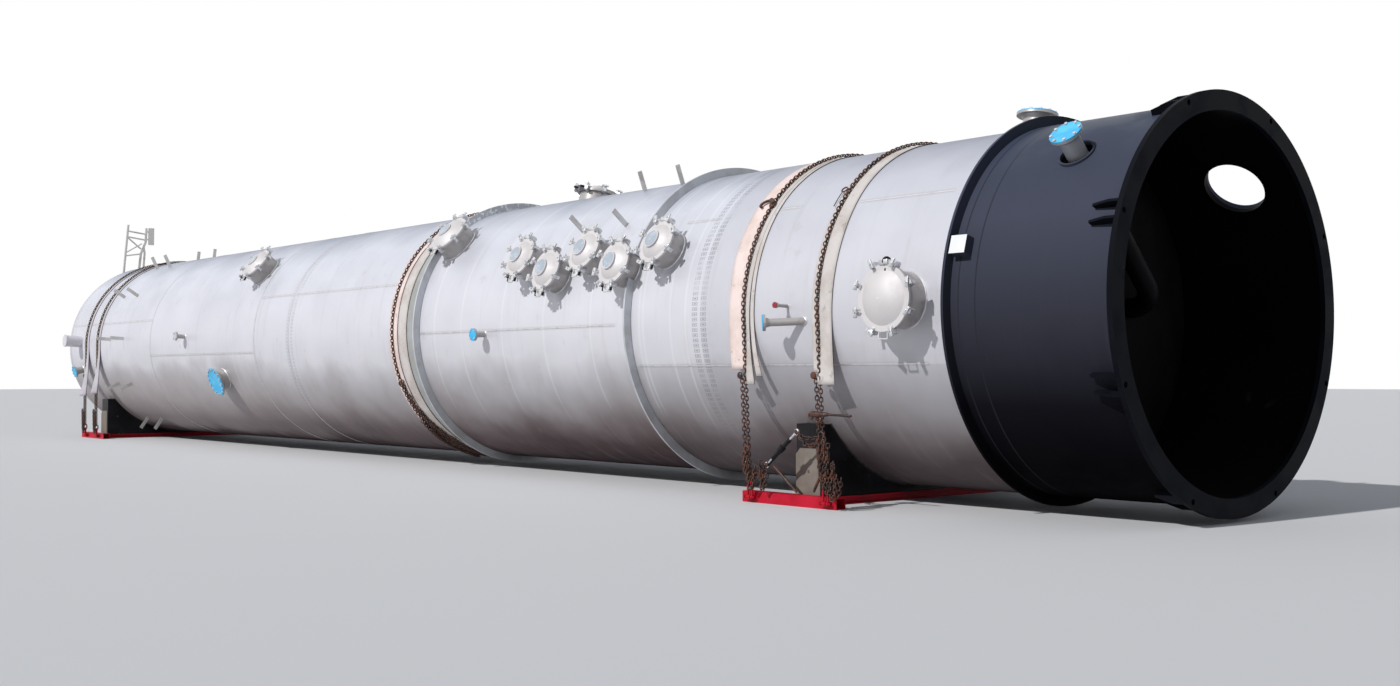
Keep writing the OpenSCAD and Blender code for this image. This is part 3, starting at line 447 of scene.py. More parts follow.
def shell_tone(tree, station, angle, height, upper):
    """The plate's painted shading by angle, with its clouds and the plates that differ from the rest."""
    tone = add_tones(tree, height, SHELL_TONES)
    cloud = multiply(tree, add_blotches(tree, 0.5, 0.38, 0.66), upper)
    tone = mix_colour(tree, cloud, tone, (0.50, 0.50, 0.53), 0.16)
    # The painted shade on the belly is made lighter far from the skirt
    far = multiply(tree, add_ramp(tree, station, 9.0, 26.0), add_between(tree, height, -66.0, -18.0, 9.0))
    tone = mix_colour(tree, far, tone, (0.50, 0.455, 0.450), 0.50)
    low = multiply(tree, add_between(tree, angle, -120.0, -17.0, 0.15), add_between(tree, station, 2.0, 7.3))
    tone = mix_colour(tree, low, tone, (0.20, 0.19, 0.20), 0.22)
    near = multiply(tree, add_between(tree, station, 2.0, 5.9, 0.05), upper)
    return mix_colour(tree, near, tone, (0.36, 0.355, 0.395), 0.30)


def finish_shell():
    finish, tree, shader = new_finish("pickled stainless plate", 0.34, 0.45)
    shader.inputs["Specular Tint"].default_value = (0.42, 0.45, 0.52, 1)
    shader.inputs["Specular IOR Level"].default_value = 0.3
    spot = vessel_place(tree)
    station, angle = spot["Station"], spot["Angle"]
    wander = add_ramp(tree, add_noise(tree, object_place(tree), 0.7, 3.0, 0.55), 0.3, 0.7, -5.0, 5.0)
    height = add_math(tree, "ADD", spot["Height"], wander)
    upper = add_ramp(tree, height, -45.0, -15.0)
    tone = shell_tone(tree, station, angle, height, upper)
    set_colour(tree, shader, shell_marks(tree, tone, station, angle, upper))
    vary_roughness(tree, shader, add_blotches(tree, 1.1, 0.35, 0.65), 0.42, 0.54, upper, 0.30)
    set_grain(tree, shader, 38.0, 0.08, 0.004)
    return finish


finishes = {"shell_steel": finish_shell()}
print("tones on the shell:", len(SHELL_TONES))

# %% [markdown]
# The small stainless pieces share one recipe with their own values: a tone, a darker grime tone that
# gathers in soft patches, and how bright and how rough they are.


# %% Finishes of the small stainless pieces
STEELS = (  # slot, name, colour, grime, metallic, roughness, scale of the patches, share of the grime
    # The neck steel is darker and browner than the other steel as painted shade on the necks
    ("neck_steel", "brushed neck steel with painted shade", (0.42, 0.400, 0.390), (0.25, 0.225, 0.21), 0.45, 0.42, 5.0, 0.5),
    ("cover_steel", "spun cover steel", (0.63, 0.600, 0.600), (0.52, 0.490, 0.485), 0.22, 0.60, 2.2, 0.5),
    ("clamp_steel", "bright clamp steel", (0.70, 0.71, 0.73), (0.25, 0.24, 0.24), 0.85, 0.30, 14.0, 0.6),
    ("bead_steel", "brushed weld beads", (0.70, 0.70, 0.73), (0.40, 0.37, 0.36), 0.75, 0.38, 9.0, 0.55),
    ("clip_steel", "mill finish bar", (0.62, 0.61, 0.60), (0.42, 0.38, 0.35), 0.70, 0.50, 4.0, 0.5),
    ("plate_steel", "bare bright plate", (0.80, 0.81, 0.82), (0.62, 0.62, 0.63), 0.40, 0.35, 9.0, 0.4),
)


def finish_steel(name, colour, grime, metallic, rough, scale, share):
    finish, tree, shader = new_finish(name, metallic, rough)
    mask = add_blotches(tree, scale, 0.45, 0.68)
    set_colour(tree, shader, mix_colour(tree, mask, colour, grime, share))
    vary_roughness(tree, shader, mask, rough - 0.05, rough + 0.10)
    set_grain(tree, shader, 45.0, 0.12)
    return finish


for slot, *recipe in STEELS:
    finishes[slot] = finish_steel(*recipe)


def finish_outlet():
    """The bottom outlet is bright outside the skirt, and its bend inside the skirt is near black as painted
    shade, like the skirt there.
    """
    finish, tree, shader = new_finish("outlet pipe steel", 0.45, 0.45)
    shader.inputs["Specular IOR Level"].default_value = 0.05
    grime = add_blotches(tree, 5.0, 0.45, 0.68)
    bright = mix_colour(tree, grime, (0.46, 0.46, 0.48), (0.26, 0.25, 0.25), 0.5)
    radius = vessel_place(tree)["Radius"]
    # Near black inside the skirt: painted shade
    inside = add_ramp(tree, radius, shell_r - 0.10, shell_r - 0.02, 1.0, 0.0)
    set_colour(tree, shader, mix_colour(tree, inside, bright, (0.003, 0.003, 0.004)))
    tree.links.new(add_ramp(tree, inside, 0.0, 1.0, 0.45, 0.0), shader.inputs["Metallic"])
    set_grain(tree, shader, 45.0, 0.12)
    return finish


def finish_ring():
    """The stiffener rings are dull, with pale flakes of old marking paint on the higher one's top."""
    finish, tree, shader = new_finish("dull ring plate", 0.35, 0.50)
    spot = vessel_place(tree)
    grime = add_blotches(tree, 3.0, 0.42, 0.66)
    colour = mix_colour(tree, grime, (0.56, 0.58, 0.61), (0.36, 0.35, 0.35), 0.5)
    top = add_ramp(tree, spot["Angle"], 30.0, 50.0)
    higher_one = add_ramp(tree, spot["Station"], 12.0, 12.2)
    flakes = multiply(tree, add_blotches(tree, 13.0, 0.50, 0.56), multiply(tree, top, higher_one))
    set_colour(tree, shader, mix_colour(tree, flakes, colour, (0.85, 0.86, 0.86)))
    set_grain(tree, shader, 30.0, 0.15, 0.003)
    return finish


def finish_glass():
    """The sight ports look into a dark vessel through thick glass with a bluish film."""
    finish, tree, shader = new_finish("sight port glass", 0.0, 0.12)
    shader.inputs["Transmission Weight"].default_value = 0.15
    shader.inputs["IOR"].default_value = 1.5
    film = add_blotches(tree, 7.0, 0.4, 0.7)
    set_colour(tree, shader, mix_colour(tree, film, (0.43, 0.49, 0.56), (0.58, 0.645, 0.72), 0.8))
    vary_roughness(tree, shader, film, 0.12, 0.34)
    return finish


finishes["outlet_steel"] = finish_outlet()
finishes["ring_steel"] = finish_ring()
finishes["sight_glass"] = finish_glass()
print("stainless finishes:", sorted(finishes))

# %% [markdown]
# ## Painted finishes
# The skirt carries a dark grey primer with painted shading by height: a painted sheen on top, painted shade
# low down, and near-black painted shade inside the skirt. The base ring and its chairs are black, darkened
# further as painted shade. The saddles are black, the beams under them red, and the end plates a dusty tan.
# Each paint fades in soft patches, and small chips of it are gone down to another colour.

# %% Painted finishes
CHIP_SCALE = 7.0
# Slot, name, colour, faded, chipped, roughness, scale of the fading, level of the chips, specular level
PAINTS = (
    # Black paint made darker than the saddles' black as painted shade on the unlit base ring face
    ("base_black_and_painted_shade", "black base ring paint and painted shade",
     (0.0034, 0.0040, 0.0066), (0.0060, 0.0070, 0.0110), (0.020, 0.018, 0.020), 0.60, 2.0, 0.70, 0.04),
    # Near black inside the skirt: painted shade, not paint
    ("inside_painted_shade", "painted shade inside the skirt",
     (0.0022, 0.0023, 0.0028), (0.0040, 0.0040, 0.0048), (0.010, 0.009, 0.009), 0.70, 2.0, 0.72, 0.04),
    ("black_paint", "worn black paint",
     (0.0060, 0.0060, 0.0075), (0.016, 0.016, 0.019), (0.13, 0.125, 0.12), 0.42, 2.5, 0.68, 0.16),
    ("end_plate_paint", "dusty tan primer",
     (0.165, 0.138, 0.115), (0.215, 0.185, 0.160), (0.09, 0.066, 0.052), 0.65, 3.5, 0.67, 0.35),
    ("red_paint", "chipped red paint",
     (0.40, 0.005, 0.018), (0.51, 0.010, 0.032), (0.10, 0.045, 0.03), 0.46, 3.0, 0.655, 0.16),
)


def finish_paint(name, colour, faded, chip, rough, fade_scale, chip_level, shine):
    """Paint that fades in patches and is chipped down to another colour."""
    finish, tree, shader = new_finish(name, 0.0, rough)
    shader.inputs["Specular IOR Level"].default_value = shine
    fade = add_blotches(tree, fade_scale, 0.38, 0.68)
    tone = mix_colour(tree, fade, colour, faded)
    chips = add_blotches(tree, CHIP_SCALE, chip_level, chip_level + 0.02)
    set_colour(tree, shader, mix_colour(tree, chips, tone, chip))
    vary_roughness(tree, shader, fade, rough - 0.06, rough + 0.10)
    set_grain(tree, shader, 55.0, 0.18)
    return finish


for slot, *recipe in PAINTS:
    finishes[slot] = finish_paint(*recipe)
print("painted finishes:", [row[0] for row in PAINTS])

# %% The skirt's finish
# Painted shading by height: a painted sheen on the upper side and painted shade down to near black below
SKIRT_TONES = (
    (-90, (0.002, 0.002, 0.003)), (-55, (0.002, 0.002, 0.003)), (-30, (0.006, 0.006, 0.009)),
    (-5, (0.030, 0.031, 0.043)), (25, (0.055, 0.060, 0.088)), (60, (0.050, 0.061, 0.094)),
    (90, (0.030, 0.040, 0.060)))
SKIRT_SEAMS, SKIRT_SEAM_HALF = (1.880, 1.665), 0.016


def finish_skirt():
    """Dark grey primer outside with painted shading by height, a painted sheen on top and painted shade low
    down, and near-black painted shade inside the skirt.
    """
    finish, tree, shader = new_finish("dark grey primer", 0.0, 0.42)
    shader.inputs["Specular IOR Level"].default_value = 0.03
    spot = vessel_place(tree)
    upper = add_ramp(tree, spot["Height"], -40.0, 0.0)
    tone = add_tones(tree, spot["Height"], SKIRT_TONES)
    fade = add_blotches(tree, 1.3, 0.36, 0.66)
    tone = mix_colour(tree, multiply(tree, fade, upper), tone, (0.040, 0.043, 0.056), 0.15)
    runs = use_effect(tree, "run marks", "Mask", Fineness=10.0, Low=0.55, High=0.75)
    tone = mix_colour(tree, multiply(tree, runs, upper), tone, (0.07, 0.07, 0.082), 0.12)
    for seam in SKIRT_SEAMS:
        line = add_line(tree, spot["Station"], seam, SKIRT_SEAM_HALF)
        tone = mix_colour(tree, line, tone, (0.022, 0.022, 0.028), 0.8)
    # Inside the skirt the near-black colour is painted shade
    inner = add_ramp(tree, spot["Radius"], shell_r - 0.014, shell_r - 0.008, 1.0, 0.0)
    set_colour(tree, shader, mix_colour(tree, inner, tone, (0.0025, 0.0025, 0.003)))
    vary_roughness(tree, shader, fade, 0.36, 0.52, upper, 0.45)
    set_grain(tree, shader, 40.0, 0.15, 0.003)
    return finish


finishes["dark_paint"] = finish_skirt()
print("tones on the skirt:", len(SKIRT_TONES))

# %% [markdown]
# ## Plastic, rubber, chain and belting
# The temporary flange covers are bright blue plastic. The chains are rusty, with bright worn spots on
# the links' crowns. The belting under them is old conveyor belt: canvas in several pale tones, from peach
# and cream to lilac and grey, with dark stains and a woven grain.

# %% Soft and rusty finishes
BARE_FLANGE = (22.2, 22.8)  # the stations between which a blank is bare steel
RED_CAP, RED_CAP_RISE = (4.31, 4.42), (0.3, 4.0)  # the stations and heights of the drain's red cap
WEAVE = 1400.0
BELTINGS = (  # slot, name, pale tone, darker tone
    ("pad_belting", "pale canvas belting", (0.63, 0.585, 0.560), (0.51, 0.450, 0.410)),
    ("warm_belting", "peach canvas belting", (0.86, 0.710, 0.670), (0.72, 0.570, 0.510)),
    ("lilac_belting", "lilac grey belting", (0.56, 0.52, 0.58), (0.46, 0.43, 0.46)),
    ("grey_belting", "grey belting", (0.40, 0.41, 0.40), (0.33, 0.33, 0.32)),
    ("cream_belting", "cream belting", (0.66, 0.65, 0.54), (0.54, 0.52, 0.43)),
)


def finish_blank():
    finish, tree, shader = new_finish("blue cover plastic", 0.0, 0.35)
    spot = vessel_place(tree)
    scuff = add_blotches(tree, 6.0, 0.45, 0.70)
    tone = mix_colour(tree, scuff, (0.028, 0.440, 0.790), (0.100, 0.580, 0.870))
    tone = mix_colour(tree, add_between(tree, spot["Station"], *BARE_FLANGE), tone, (0.48, 0.48, 0.49))
    red = multiply(tree, add_between(tree, spot["Station"], *RED_CAP),
                   add_between(tree, spot["Height"], *RED_CAP_RISE, 0.1))
    set_colour(tree, shader, mix_colour(tree, red, tone, (0.30, 0.014, 0.022)))
    vary_roughness(tree, shader, scuff, 0.30, 0.50)
    set_grain(tree, shader, 70.0, 0.06, 0.001)
    return finish


def finish_chain():
    finish, tree, shader = new_finish("rusty chain", 0.35, 0.60)
    rust = add_blotches(tree, 9.0, 0.40, 0.60)
    tone = mix_colour(tree, rust, (0.034, 0.021, 0.018), (0.125, 0.050, 0.032))
    worn = add_blotches(tree, 38.0, 0.65, 0.70)
    set_colour(tree, shader, mix_colour(tree, worn, tone, (0.45, 0.41, 0.39)))
    vary_roughness(tree, shader, rust, 0.45, 0.75)
    set_grain(tree, shader, 160.0, 0.4)
    return finish


def finish_rubber():
    finish, tree, shader = new_finish("saddle lining rubber", 0.0, 0.75)
    dust = add_blotches(tree, 4.0, 0.42, 0.66)
    set_colour(tree, shader, mix_colour(tree, dust, (0.022, 0.021, 0.020), (0.075, 0.065, 0.058)))
    set_grain(tree, shader, 90.0, 0.3)
    return finish


def finish_belting(name, pale, darker):
    """Canvas belting: two tones in long patches, dark stains, and a weave of crossed fine waves."""
    finish, tree, shader = new_finish(name, 0.0, 0.85)
    tone = mix_colour(tree, add_blotches(tree, 2.4, 0.38, 0.66), pale, darker)
    stain = add_blotches(tree, 7.5, 0.60, 0.72)
    set_colour(tree, shader, mix_colour(tree, stain, tone, (0.27, 0.22, 0.19), 0.55))
    split = tree.nodes.new("ShaderNodeSeparateXYZ")
    tree.links.new(object_place(tree), split.inputs[0])
    waves = [add_math(tree, "SINE", multiply(tree, split.outputs[axis], WEAVE)) for axis in ("X", "Z")]
    bump = tree.nodes.new("ShaderNodeBump")
    bump.inputs["Strength"].default_value = 0.35
    bump.inputs["Distance"].default_value = 0.0008
    tree.links.new(multiply(tree, *waves), bump.inputs["Height"])
    tree.links.new(bump.outputs["Normal"], shader.inputs["Normal"])
    return finish


finishes["blue_blank"] = finish_blank()
finishes["chain_steel"] = finish_chain()
finishes["lining_rubber"] = finish_rubber()
for slot, *recipe in BELTINGS:
    finishes[slot] = finish_belting(*recipe)
print("finishes made:", len(finishes))

# %% [markdown]
# ## Dressing the solid pieces
# Each solid piece of the frame names the slot of its finish in the record. Four of them take another one:
# the bottom head and the outlet lie inside the skirt and take near-black painted shade there, and the base
# ring and its chairs take black paint darkened further as painted shade.

# %% Put the finishes on the solid pieces
# The bottom head and the outlet take near-black painted shade inside the skirt; the base ring and its chairs
# take black darkened as painted shade
OTHER_FINISH = {"base_ring": "base_black_and_painted_shade", "anchor_chairs": "base_black_and_painted_shade", "bottom_head": "inside_painted_shade",
                "skirt_nozzle": "outlet_steel"}
for part in frame["record"]["subparts"]:
    solid = nodes[part["node"]]
    finish = finishes[OTHER_FINISH.get(part["node"], part["material_slot"])]
    solid.data.materials.clear()
    solid.data.materials.append(finish)
    for face in solid.data.polygons:
        face.material_index = 0

# %% [markdown]
# ## Making pieces
# New pieces are drawn in a bmesh. A finished drawing becomes an object at the origin, rides on the
# vessel's one body, and is shaded smooth with its sharp edges kept.


# %% Helpers for pieces
def finish_piece(drawing, name, finish, crisp=35):
    """Turns a drawing into a piece with its finish."""
    bmesh.ops.recalc_face_normals(drawing, faces=drawing.faces)
    for face in drawing.faces:
        face.smooth = True
    for edge in drawing.edges:
        edge.smooth = not (len(edge.link_faces) == 2 and edge.calc_face_angle(0) > math.radians(crisp))
    data = bpy.data.meshes.new(name)
    drawing.to_mesh(data)
    drawing.free()
    piece = bpy.data.objects.new(name, data)
    bpy.context.scene.collection.objects.link(piece)
    data.materials.append(finishes[finish])
    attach(piece, "root")
    print("%s: %d faces" % (name, len(data.polygons)))
    return piece


def stamp(drawing, shape, spot):
    """Adds a copy of a finished shape to a drawing at a spot."""
    copy = shape.copy()
    copy.transform(spot)
    drawing.from_mesh(copy)
    bpy.data.meshes.remove(copy)


def keep_shape(drawing, name):
    """Keeps a drawing as a shape to stamp."""
    shape = bpy.data.meshes.new(name)
    drawing.to_mesh(shape)
    drawing.free()
    return shape


def aim(start, end, side=Vector((1, 0, 0))):
    """A frame at a point whose Z points at another one, with its X near a given side."""
    forward = (end - start).normalized()
    across = (side - forward * side.dot(forward)).normalized()
    frame_axes = Matrix((across, forward.cross(across), forward)).transposed().to_4x4()
    return Matrix.Translation(start) @ frame_axes


def edges_of(made):
    """The edges of what an operation made."""
    return list({edge for vert in made["verts"] for edge in vert.link_edges})


def rims_of(made):
    """The sharpest edges of what an operation made."""
    return [edge for edge in edges_of(made) if edge.calc_face_angle(0) > 1.2]


def soften(drawing, edges, width, segments=2):
    """Rounds edges off."""
    bmesh.ops.bevel(drawing, geom=edges, offset=width, affect="EDGES", segments=segments, profile=0.5,
                    material=-1)


def add_rod(drawing, start, end, radius, tip=None, sides=12):
    """A round bar between two points, with softened ends, that may taper to a tip radius."""
    length = (end - start).length
    spot = aim(start, end) @ Matrix.Translation((0, 0, length / 2))
    tip = radius if tip is None else tip
    made = bmesh.ops.create_cone(drawing, cap_ends=True, segments=sides, radius1=radius, radius2=tip,
                                 depth=length, matrix=spot)
    soften(drawing, rims_of(made), min(radius, tip) * 0.3)


def add_loop(drawing, spot, ring, bar, steps=20, sides=8):
    """A round bar bent to a ring round the spot's Z axis."""
    section = Matrix.Translation((ring, 0, 0)) @ Matrix.Rotation(math.radians(90), 4, "X")
    made = bmesh.ops.create_circle(drawing, segments=sides, radius=bar, matrix=section)
    before = set(drawing.verts) - set(made["verts"])
    bmesh.ops.spin(drawing, geom=made["verts"] + edges_of(made), cent=(0, 0, 0), axis=(0, 0, 1),
                   dvec=(0, 0, 0), angle=math.tau, steps=steps, use_merge=True, use_duplicate=False)
    fresh = [v for v in drawing.verts if v not in before]
    bmesh.ops.transform(drawing, matrix=spot, verts=fresh)


print("helpers ready")

# %% [markdown]
# ## The saddles
# Each saddle's end plate is as wide as the saddle itself. The saddles and their linings are drawn again
# at that width, measured from the edge towards the skirt.

# %% Saddles at the end plates' width
saddle_boxes = [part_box("front_saddle"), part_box("rear_saddle")]
SADDLE_WIDTH = 0.400


def draw_narrow(node, name, finish):
    """Draws a piece again with each saddle's part of it drawn in to the saddle's true width."""
    drawing = bmesh.new()
    drawing.from_mesh(nodes[node].data)
    drawing.transform(nodes[node].matrix_world)
    for vert in drawing.verts:
        low, high = min(saddle_boxes, key=lambda box: abs((box[0].x + box[1].x) / 2 - vert.co.x))
        vert.co.x = high.x - (high.x - vert.co.x) * SADDLE_WIDTH / (high.x - low.x)
    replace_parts(finish_piece(drawing, name, finish, 30), node)


for node in ("front_saddle", "rear_saddle"):
    draw_narrow(node, node + "_web", "black_paint")
draw_narrow("saddle_linings", "lining_sheets", "lining_rubber")

# %% [markdown]
# ## Chains
# A link is a round bar bent to a long loop. One link has only ten steps round and five sides, because
# more than a thousand of them lie along the five chains. Each next link is turned a quarter, as in a
# real chain, and a larger one hooks into the shackle.

# %% The link
LINK_BAR, LINK_WIDTH, LINK_PITCH = 0.0155, 0.054, 0.047


def make_link():
    """A link in the XY plane, long in Y."""
    bend = (LINK_WIDTH - LINK_BAR) / 2
    straight = LINK_PITCH + LINK_BAR - 2 * bend
    link = bmesh.new()
    for side in (-1, 1):
        made = bmesh.ops.create_circle(link, segments=5, radius=LINK_BAR / 2, matrix=Matrix.Translation(
            (side * bend, side * straight / 2, 0)) @ Matrix.Rotation(math.radians(90), 4, "X"))
        bent = bmesh.ops.spin(link, geom=made["verts"] + edges_of(made), cent=(0, side * straight / 2, 0),
                              axis=(0, 0, 1), dvec=(0, 0, 0), angle=math.pi, steps=4, use_merge=False,
                              use_duplicate=False)
        last = [e for e in bent["geom_last"] if isinstance(e, bmesh.types.BMEdge)]
        drawn = bmesh.ops.extrude_edge_only(link, edges=last)
        bmesh.ops.translate(link, vec=(0, -side * straight, 0),
                            verts=[v for v in drawn["geom"] if isinstance(v, bmesh.types.BMVert)])
    bmesh.ops.remove_doubles(link, verts=link.verts, dist=0.0006)
    bmesh.ops.recalc_face_normals(link, faces=link.faces)
    return keep_shape(link, "link")


link_shape = make_link()
print("faces of a link:", len(link_shape.polygons))


# %% Laying links along a path
def walk(path, step, start=0.0):
    """Points each step along a path of points, with the direction there."""
    found = []
    left = start
    for here, there in zip(path, path[1:]):
        run = there - here
        while left <= run.length:
            found.append((here + run.normalized() * left, run.normalized()))
            left += step
        left -= run.length
    return found


def link_frame(point, axes, size):
    """A link's frame at a point, from its three axes and its size."""
    return Matrix.Translation(point) @ Matrix(axes).transposed().to_4x4() @ Matrix.Scale(size, 4)


def add_chain(drawing, path, out_from=None, side=Vector((0, -1, 0)), start=0.0, turn=0):
    """Links along a path, each turned a quarter from the last, that lie on their corners."""
    spots = walk(path, LINK_PITCH, start)
    for number, (point, forward) in enumerate(spots):
        outwards = point - Vector((point.x, axis_y, axis_z)) if out_from == "axis" else side.copy()
        outwards = (outwards - forward * outwards.dot(forward)).normalized()
        across = forward.cross(outwards)
        across, outwards = (across + outwards).normalized(), (outwards - across).normalized()
        flat = (number + turn) % 2 == 0
        axes = (across, forward, outwards) if flat else (outwards, forward, -across)
        stamp(drawing, link_shape, link_frame(point, axes, 1.0))
    return len(spots)


print("chain tools ready")

# %% [markdown]
# A tie chain comes up from its shackle at a lean, lies over the shell on its belting and goes down again on
# the far side. The frame's box of the rear saddle gives where the rear pair lies; the front pair's places
# are listed.

# %% Tie chains
BELT_UNDER, CHAIN_HALF = 0.012, 0.023  # what lies between the shell and the middle of a chain
chain_r = shell_r + BELT_UNDER + CHAIN_HALF
BOW_UNDER = 0.2247  # how high the shackles' bows are
END_LINK = 1.9  # how many times larger the link in a shackle is
END_LINK_AXES = (Vector((0, -1, 0)), Vector((0, 0, 1)), Vector((-1, 0, 0)))
HANG_STEPS, ARC_STEPS = 40, 120


def tie_path(station, lean, bottom):
    """The path of one tie chain, from the shackle on the -Y side to the one on the +Y side."""
    path = []
    for step in range(HANG_STEPS + 1):
        height = bottom + (axis_z - bottom) * step / HANG_STEPS
        along = x_base - station + lean * (axis_z - height) / (axis_z - bottom)
        path.append(Vector((along, axis_y - chain_r, height)))
    for step in range(1, ARC_STEPS + 1):
        path.append(place(station, 180 * step / ARC_STEPS, chain_r))
    for point in reversed(path[:HANG_STEPS]):
        path.append(Vector((point.x, 2 * axis_y - point.y, point.z)))
    return path


def add_end_link(drawing, station, lean, side):
    """The larger link that hooks into a shackle's bow; returns how high its upper end is."""
    height = BOW_UNDER + LINK_PITCH * END_LINK / 2 - 0.002
    centre = Vector((x_base - station + lean, axis_y - side * chain_r, height))
    stamp(drawing, link_shape, link_frame(centre, END_LINK_AXES, END_LINK))
    return centre.z + LINK_PITCH * END_LINK / 2


def make_tie_chains(name, node, places):
    drawing = bmesh.new()
    count = 0
    for station, lean in places:
        for side in (-1, 1):
            bottom = add_end_link(drawing, station, lean, side)
        count += add_chain(drawing, tie_path(station, lean, bottom), "axis", start=LINK_PITCH / 2)
    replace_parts(finish_piece(drawing, name, "chain_steel", 80), node)
    print("links in %s: %d" % (name, count))


# Each chain's station at the shell and how far its foot leans towards the skirt
FRONT_CHAINS = ((3.868, 0.130), (5.090, 0.115))
rear_at = station_of("rear_saddle")
REAR_CHAINS = ((rear_at - 0.398, 0.040), (rear_at + 0.398, 0.040))
make_tie_chains("front_chain_links", "front_chains", FRONT_CHAINS)
make_tie_chains("rear_chain_links", "rear_chains", REAR_CHAINS)

# %% The chain right round the shell
girth_at = station_of("girth_chain")
girth_drawing = bmesh.new()
ring_path = [place(girth_at, step * 2 - 90, chain_r) for step in range(181)]
girth_count = add_chain(girth_drawing, ring_path, "axis")
girth_links = finish_piece(girth_drawing, "girth_chain_links", "chain_steel", 80)
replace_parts(girth_links, "girth_chain")
print("links right round:", girth_count)

# %% [markdown]
# ## Belting
# Strips of old belting keep the chains off the stainless shell. Each strip is a flat piece that was
# cut to length and laid over the shell. It is a grid, bent round the shell in code and given its
# thickness by a Solidify modifier. Its hanging ends drift and curl a little.

# %% Bending a strip of belt
BELT_LIFT, BELT_THICKNESS = 0.0060, 0.0115
GRID_STEP, SWAY, FAR_CURL = 0.06, 0.003, 0.3


def bend_belt(name, stations, tails, drift, curl, finish, seed, angles=(0.0, 180.0)):
    """A strip between two stations that hangs down by the two tails, or lies between two angles."""
    wide = stations[1] - stations[0]
    radius = shell_r + BELT_LIFT
    arc = radius * math.radians(angles[1] - angles[0])
    length = tails[0] + arc + tails[1]
    drawing = bmesh.new()
    bmesh.ops.create_grid(drawing, x_segments=4, y_segments=int(length / GRID_STEP), size=0.5)
    shake = random.Random(seed)
    waves = [(shake.uniform(1.5, 4.0), shake.uniform(0, 6.28)) for _ in range(3)]
    for vert in drawing.verts:
        across, along = vert.co.x + 0.5, (vert.co.y + 0.5) * length
        sway = sum(math.sin(along * f + p) for f, p in waves) * SWAY
        place_at = stations[0] + across * wide + sway
        if along < tails[0]:
            drop = (tails[0] - along) / max(tails[0], 0.001)
            out = radius + curl * drop * drop * (0.6 + 0.8 * across)
            point = Vector((x_base - place_at + drift * drop * drop, axis_y - out, axis_z - drop * tails[0]))
        elif along > tails[0] + arc:
            drop = along - tails[0] - arc
            out = radius + FAR_CURL * curl * (drop / tails[1]) ** 2
            point = Vector((x_base - place_at, axis_y + out, axis_z - drop))
        else:
            point = place(place_at, angles[0] + math.degrees((along - tails[0]) / radius), radius)
        vert.co = point
    piece = finish_piece(drawing, name, finish, 60)
    solid = piece.modifiers.new("thickness", "SOLIDIFY")
    solid.thickness = BELT_THICKNESS
    solid.offset = 0.0
    piece.data.materials.append(finishes["lining_rubber"])
    solid.material_offset_rim = 1
    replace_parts(piece, "chain_pads")
    return piece, (wide, length)


FAR_TAIL = 0.80  # how far every strip hangs down on the +Y side
FRONT_STRIPS = (  # name, stations, tail on the -Y side, drift, curl, finish, seed
    ("far_front_belt_wide", (5.115, 5.370), 0.650, 0.09, 0.020, "warm_belting", 1),
    ("far_front_belt_middle", (5.000, 5.105), 0.830, 0.10, 0.030, "pad_belting", 2),
    ("far_front_belt_narrow", (4.932, 4.992), 0.735, 0.17, 0.045, "pad_belting", 3),
    ("near_front_belt_thin", (3.895, 3.962), 0.700, 0.05, 0.010, "pad_belting", 4),
    ("near_front_belt_wide", (3.650, 3.885), 0.830, 0.05, 0.035, "pad_belting", 5),
)
REAR_WIDTH, REAR_DRIFT, REAR_LONGER = 0.142, 0.05, 0.06
REAR_STRIPS = (  # part of the name, station beside the chain, finish, tail on the -Y side, curl
    ("low", -0.148, "lilac_belting", 1.15, 0.13),
    ("high", 0.006, "cream_belting", 0.98, 0.03),
)
for name, stations, tail, drift, curl, finish, seed in FRONT_STRIPS:
    belt = bend_belt(name, stations, (tail, FAR_TAIL), drift, curl, finish, seed)
for number, (station, lean) in enumerate(REAR_CHAINS):
    for part, offset, finish, tail, curl in REAR_STRIPS:
        name = "rear_belt_%d_%s" % (number + 1, part)
        stations = (station + offset, station + offset + REAR_WIDTH)
        tails = (tail + REAR_LONGER * number, FAR_TAIL)
        belt = bend_belt(name, stations, tails, REAR_DRIFT, curl, finish, 10 + number)

# %% Belts under the girth chain
GIRTH_BELTS = ("warm_belting", "pad_belting", "grey_belting")
GIRTH_OFF, GIRTH_PITCH, GIRTH_WIDTH = 0.135, 0.295, 0.270
GIRTH_ANGLES = (-88.0, 271.0)
for number, finish in enumerate(GIRTH_BELTS):
    name = "girth_belt_%d" % (number + 1)
    low = girth_at - GIRTH_OFF - GIRTH_PITCH * number
    belt = bend_belt(name, (low, low + GIRTH_WIDTH), (0.0, 0.0), 0.0, 0.0, finish, 20 + number, GIRTH_ANGLES)

# %% [markdown]
# ## Welds
# Every seam stands a little proud of the plate. Beads run round the shell at its girth seams, along its
# plates, and where each neck and nozzle meets it.


# %% Bars along a path
def add_tube(drawing, path, radius, sides=6, closed=False, squash=1.0, out_from=None):
    """A bar of even thickness along a path of points; it can be squashed towards the axis."""
    count = len(path)
    turns = [math.tau * step / sides for step in range(sides)]
    section = [Vector((math.cos(turn) * radius * squash, math.sin(turn) * radius, 0)) for turn in turns]
    rings = []
    for number, point in enumerate(path):
        before = path[number - 1] if number or closed else point
        after = path[(number + 1) % count] if number < count - 1 or closed else point
        side = point - Vector((point.x, axis_y, axis_z)) if out_from == "axis" else Vector((0.3, -1, 0.2))
        spot = aim(point, point + (after - before), side)
        rings.append([drawing.verts.new(spot @ corner) for corner in section])
    for number in range(count if closed else count - 1):
        here, there = rings[number], rings[(number + 1) % count]
        for step in range(sides):
            drawing.faces.new((here[step], here[(step + 1) % sides], there[(step + 1) % sides], there[step]))
    if not closed:
        drawing.faces.new(rings[0])
        drawing.faces.new(rings[-1])


print("bar tool ready")

